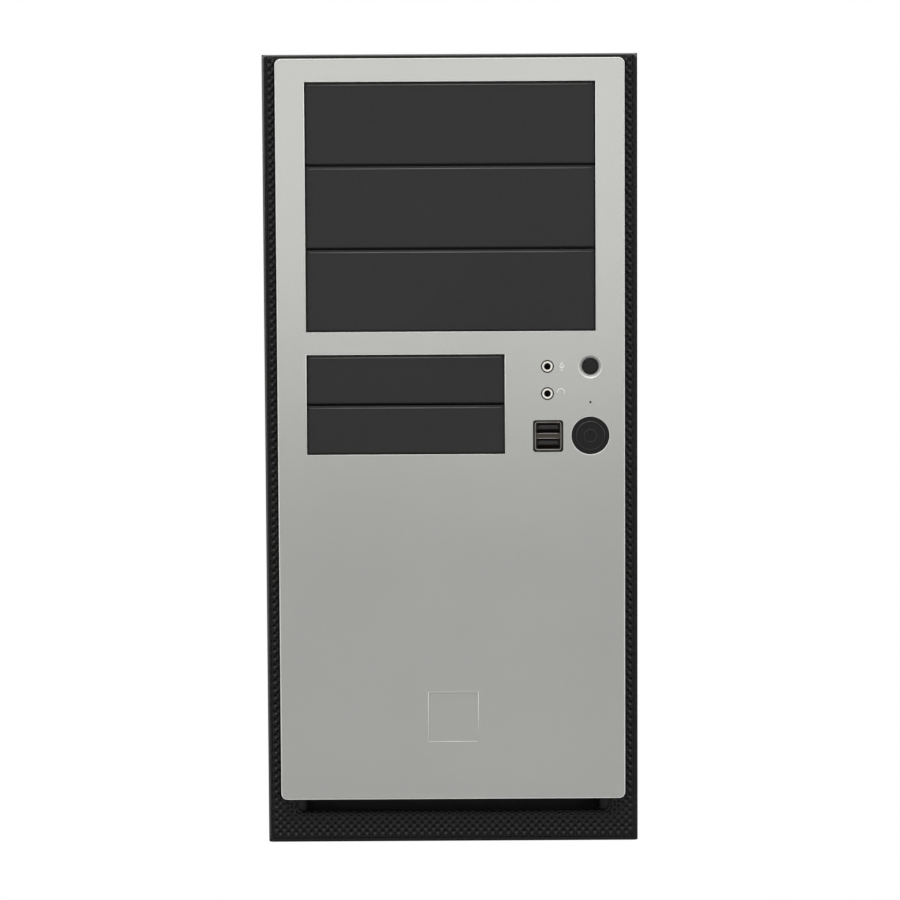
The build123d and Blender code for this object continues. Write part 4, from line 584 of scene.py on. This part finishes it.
# Chips: distance from the rear edge, height above the bottom edge, size along Y and Z, thickness, all in mm
CHIPS = [
    (70, 40, 14, 20, 1.6), (112, 28, 12, 12, 1.4), (148, 66, 12, 16, 1.6), (196, 36, 18, 18, 1.8),
    (188, 112, 12, 12, 1.4), (30, 130, 9, 9, 1.2), (30, 96, 10, 14, 1.4), (214, 150, 10, 14, 1.4),
    (150, 130, 8, 12, 1.2), (206, 190, 8, 8, 1.0),
]
SMALL_PARTS = 90
SMALL_WIDE = 1.6 * MM
SMALL_TALL = 0.8 * MM
SMALL_RISE = 0.6 * MM


def small_part_places():
    """Scattered places for small parts: distance from the rear edge and height, in metres."""
    for i in range(SMALL_PARTS):
        yield (52 + (i * 37) % 178) * MM, (8 + (i * 53) % 128) * MM


def board_chips():
    """Chips and small components on the component side of the board."""
    low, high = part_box("motherboard")
    face = low[0]
    bm = bmesh.new()
    for y, z, wide, tall, rise in CHIPS:
        corner = (face - rise * MM, high[1] - (y + wide) * MM, low[2] + z * MM)
        add_block(bm, corner, (face, high[1] - y * MM, low[2] + (z + tall) * MM), 0.15 * MM)
    for y, z in small_part_places():
        corner = (face - SMALL_RISE, high[1] - y - SMALL_WIDE, low[2] + z)
        add_block(bm, corner, (face, high[1] - y, low[2] + z + SMALL_TALL))
    piece("board_chips", bm, CHIP, "chassis")


def drive_label():
    """Blank label on the lid of the hard drive."""
    low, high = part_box("hard_drive_lid")
    side = 14 * MM
    bm = bmesh.new()
    add_block(bm, (low[0] + side, high[1] - 46 * MM, high[2] - 0.05 * MM),
              (high[0] - side, high[1] - 8 * MM, high[2] + 0.08 * MM), 0.04 * MM)
    piece("drive_label", bm, LABEL, "chassis")


def screw_ridges():
    """Grip ridges round the head of each thumbscrew."""
    low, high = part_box("thumbscrews")
    head, ridges, half = 6.0 * MM, 28, 0.22 * MM
    reach = head - 0.1 * MM
    front, back = high[1] - 7.0 * MM, high[1] - 0.8 * MM
    bm = bmesh.new()
    for x in (low[0] + head, high[0] - head):
        for z in (low[2] + head, high[2] - head):
            for i in range(ridges):
                turn = tau * i / ridges
                mid_x, mid_z = x + reach * cos(turn), z + reach * sin(turn)
                add_block(bm, (mid_x - half, front, mid_z - half), (mid_x + half, back, mid_z + half))
    piece("screw_ridges", bm, MATERIALS["screw_steel"], "chassis")


# ---------------------------------------------------------------- light, floor and camera

def area_light(name, at, aim, size, power):
    lamp = bpy.data.lights.new(name, "AREA")
    lamp.shape = "RECTANGLE"
    lamp.size, lamp.size_y = size
    lamp.energy = power
    made = bpy.data.objects.new(name, lamp)
    bpy.context.scene.collection.objects.link(made)
    made.location = at
    made.rotation_euler = (Vector(aim) - Vector(at)).to_track_quat("-Z", "Y").to_euler()


def seen_directly(tree, plain, seen):
    """Mix two shaders: plain for light that falls on things, seen for what the camera sees directly."""
    path = node(tree, "ShaderNodeLightPath")
    mix = node(tree, "ShaderNodeMixShader")
    link(tree, path, "Is Camera Ray", mix, "Fac")
    tree.links.new(plain, mix.inputs[1])
    tree.links.new(seen, mix.inputs[2])
    return mix


def studio_world():
    """Soft surroundings, bright overhead and dim low down, on a white backdrop."""
    world = bpy.data.worlds.new("studio")
    world.use_nodes = True
    tree = world.node_tree
    around = tree.nodes["Background"]
    around.inputs["Strength"].default_value = WORLD_STRENGTH
    place = node(tree, "ShaderNodeTexCoord")
    split = node(tree, "ShaderNodeSeparateXYZ")
    link(tree, place, "Generated", split, "Vector")
    ramp = node(tree, "ShaderNodeValToRGB")
    ramp.color_ramp.elements[0].position = 0.0
    ramp.color_ramp.elements[0].color = (0.30, 0.30, 0.30, 1)
    ramp.color_ramp.elements[1].position = 0.6
    ramp.color_ramp.elements[1].color = (1, 1, 1, 1)
    link(tree, split, "Z", ramp, "Fac")
    link(tree, ramp, "Color", around, "Color")
    white = node(tree, "ShaderNodeBackground")
    white.inputs["Strength"].default_value = 1.0
    white.inputs["Color"].default_value = (1, 1, 1, 1)
    mix = seen_directly(tree, around.outputs[0], white.outputs[0])
    link(tree, mix, "Shader", tree.nodes["World Output"], "Surface")
    bpy.context.scene.world = world


def stage_block(name, low, high, mat):
    """Block of the studio, which isn't part of the object."""
    bm = bmesh.new()
    add_block(bm, low, high)
    mesh = bpy.data.meshes.new(name)
    bm.to_mesh(mesh)
    bm.free()
    mesh.materials.append(mat)
    made = bpy.data.objects.new(name, mesh)
    bpy.context.scene.collection.objects.link(made)
    return made


def studio_floor():
    """Wide floor that the camera sees as plain white."""
    pale = bpy.data.materials.new("pale_floor")
    pale.use_nodes = True
    tree = pale.node_tree
    shader = tree.nodes["Principled BSDF"]
    shader.inputs["Base Color"].default_value = (FLOOR_TONE, FLOOR_TONE, FLOOR_TONE, 1)
    shader.inputs["Roughness"].default_value = 0.9
    white = node(tree, "ShaderNodeEmission")
    white.inputs["Strength"].default_value = 1.0
    mix = seen_directly(tree, shader.outputs[0], white.outputs[0])
    link(tree, mix, "Shader", tree.nodes["Material Output"], "Surface")
    stage_block("floor", (-FLOOR_SPAN, -FLOOR_SPAN, -SLAB), (FLOOR_SPAN, FLOOR_SPAN, 0.0), pale)


def bright_wall():
    """Large lit wall in front of the tower, standing on the floor; the plate mirrors its lower edge."""
    lit = bpy.data.materials.new("lit_wall")
    lit.use_nodes = True
    tree = lit.node_tree
    glow = node(tree, "ShaderNodeEmission")
    glow.inputs["Strength"].default_value = WALL_GLOW
    link(tree, glow, "Emission", tree.nodes["Material Output"], "Surface")
    y = LOW.y - WALL_AHEAD
    wall = stage_block("bright_wall", (-WALL_HALF, y - SLAB, 0.0), (WALL_HALF, y, WALL_TOP), lit)
    wall.visible_camera = False


def studio():
    """Pale floor and soft light, brightest from above the front."""
    studio_floor()
    studio_world()
    bright_wall()
    area_light("key", (0.0, -0.85, 1.05), (0, -0.22, 0.36), (1.1, 0.5), 2.4)
    area_light("overhead", (0.0, -0.36, 1.25), (0, -0.34, 0.3), (1.6, 1.0), 7.0)
    area_light("left_fill", (-1.7, -1.1, 0.7), (0, 0, 0.2), (0.5, 1.4), 5)
    area_light("right_fill", (1.7, -1.1, 0.7), (0, 0, 0.2), (0.5, 1.4), 5)
    bpy.context.scene.view_settings.view_transform = "Standard"


def camera():
    """Long lens at the height of the tower's top, looking slightly down."""
    ahead = Vector((sin(YAW) * cos(PITCH), cos(YAW) * cos(PITCH), -sin(PITCH)))
    right = Vector((cos(YAW), -sin(YAW), 0))
    up = right.cross(ahead)
    across = right * cos(ROLL) + up * sin(ROLL)
    upward = up * cos(ROLL) - right * sin(ROLL)
    data = bpy.data.cameras.new("camera")
    data.lens = LENS
    data.sensor_width = 36.0
    made = bpy.data.objects.new("camera", data)
    bpy.context.scene.collection.objects.link(made)
    turn = Matrix((across, upward, -ahead)).transposed().to_4x4()
    made.matrix_world = Matrix.Translation((CAMERA_X, LOW.y - CAMERA_BACK, HIGH.z)) @ turn
    bpy.context.scene.camera = made


paint_nodes()
bezel_knurl()
microphone_symbol()
headphone_symbol()
power_symbol()
usb_rim()
plate_edge_highlights()
jack_liners()
intake_ends()
bezel_edge_highlights()
cover_edges()
button_rings()
reset_countersink_highlight()
board_chips()
drive_label()
screw_ridges()
studio()
camera()
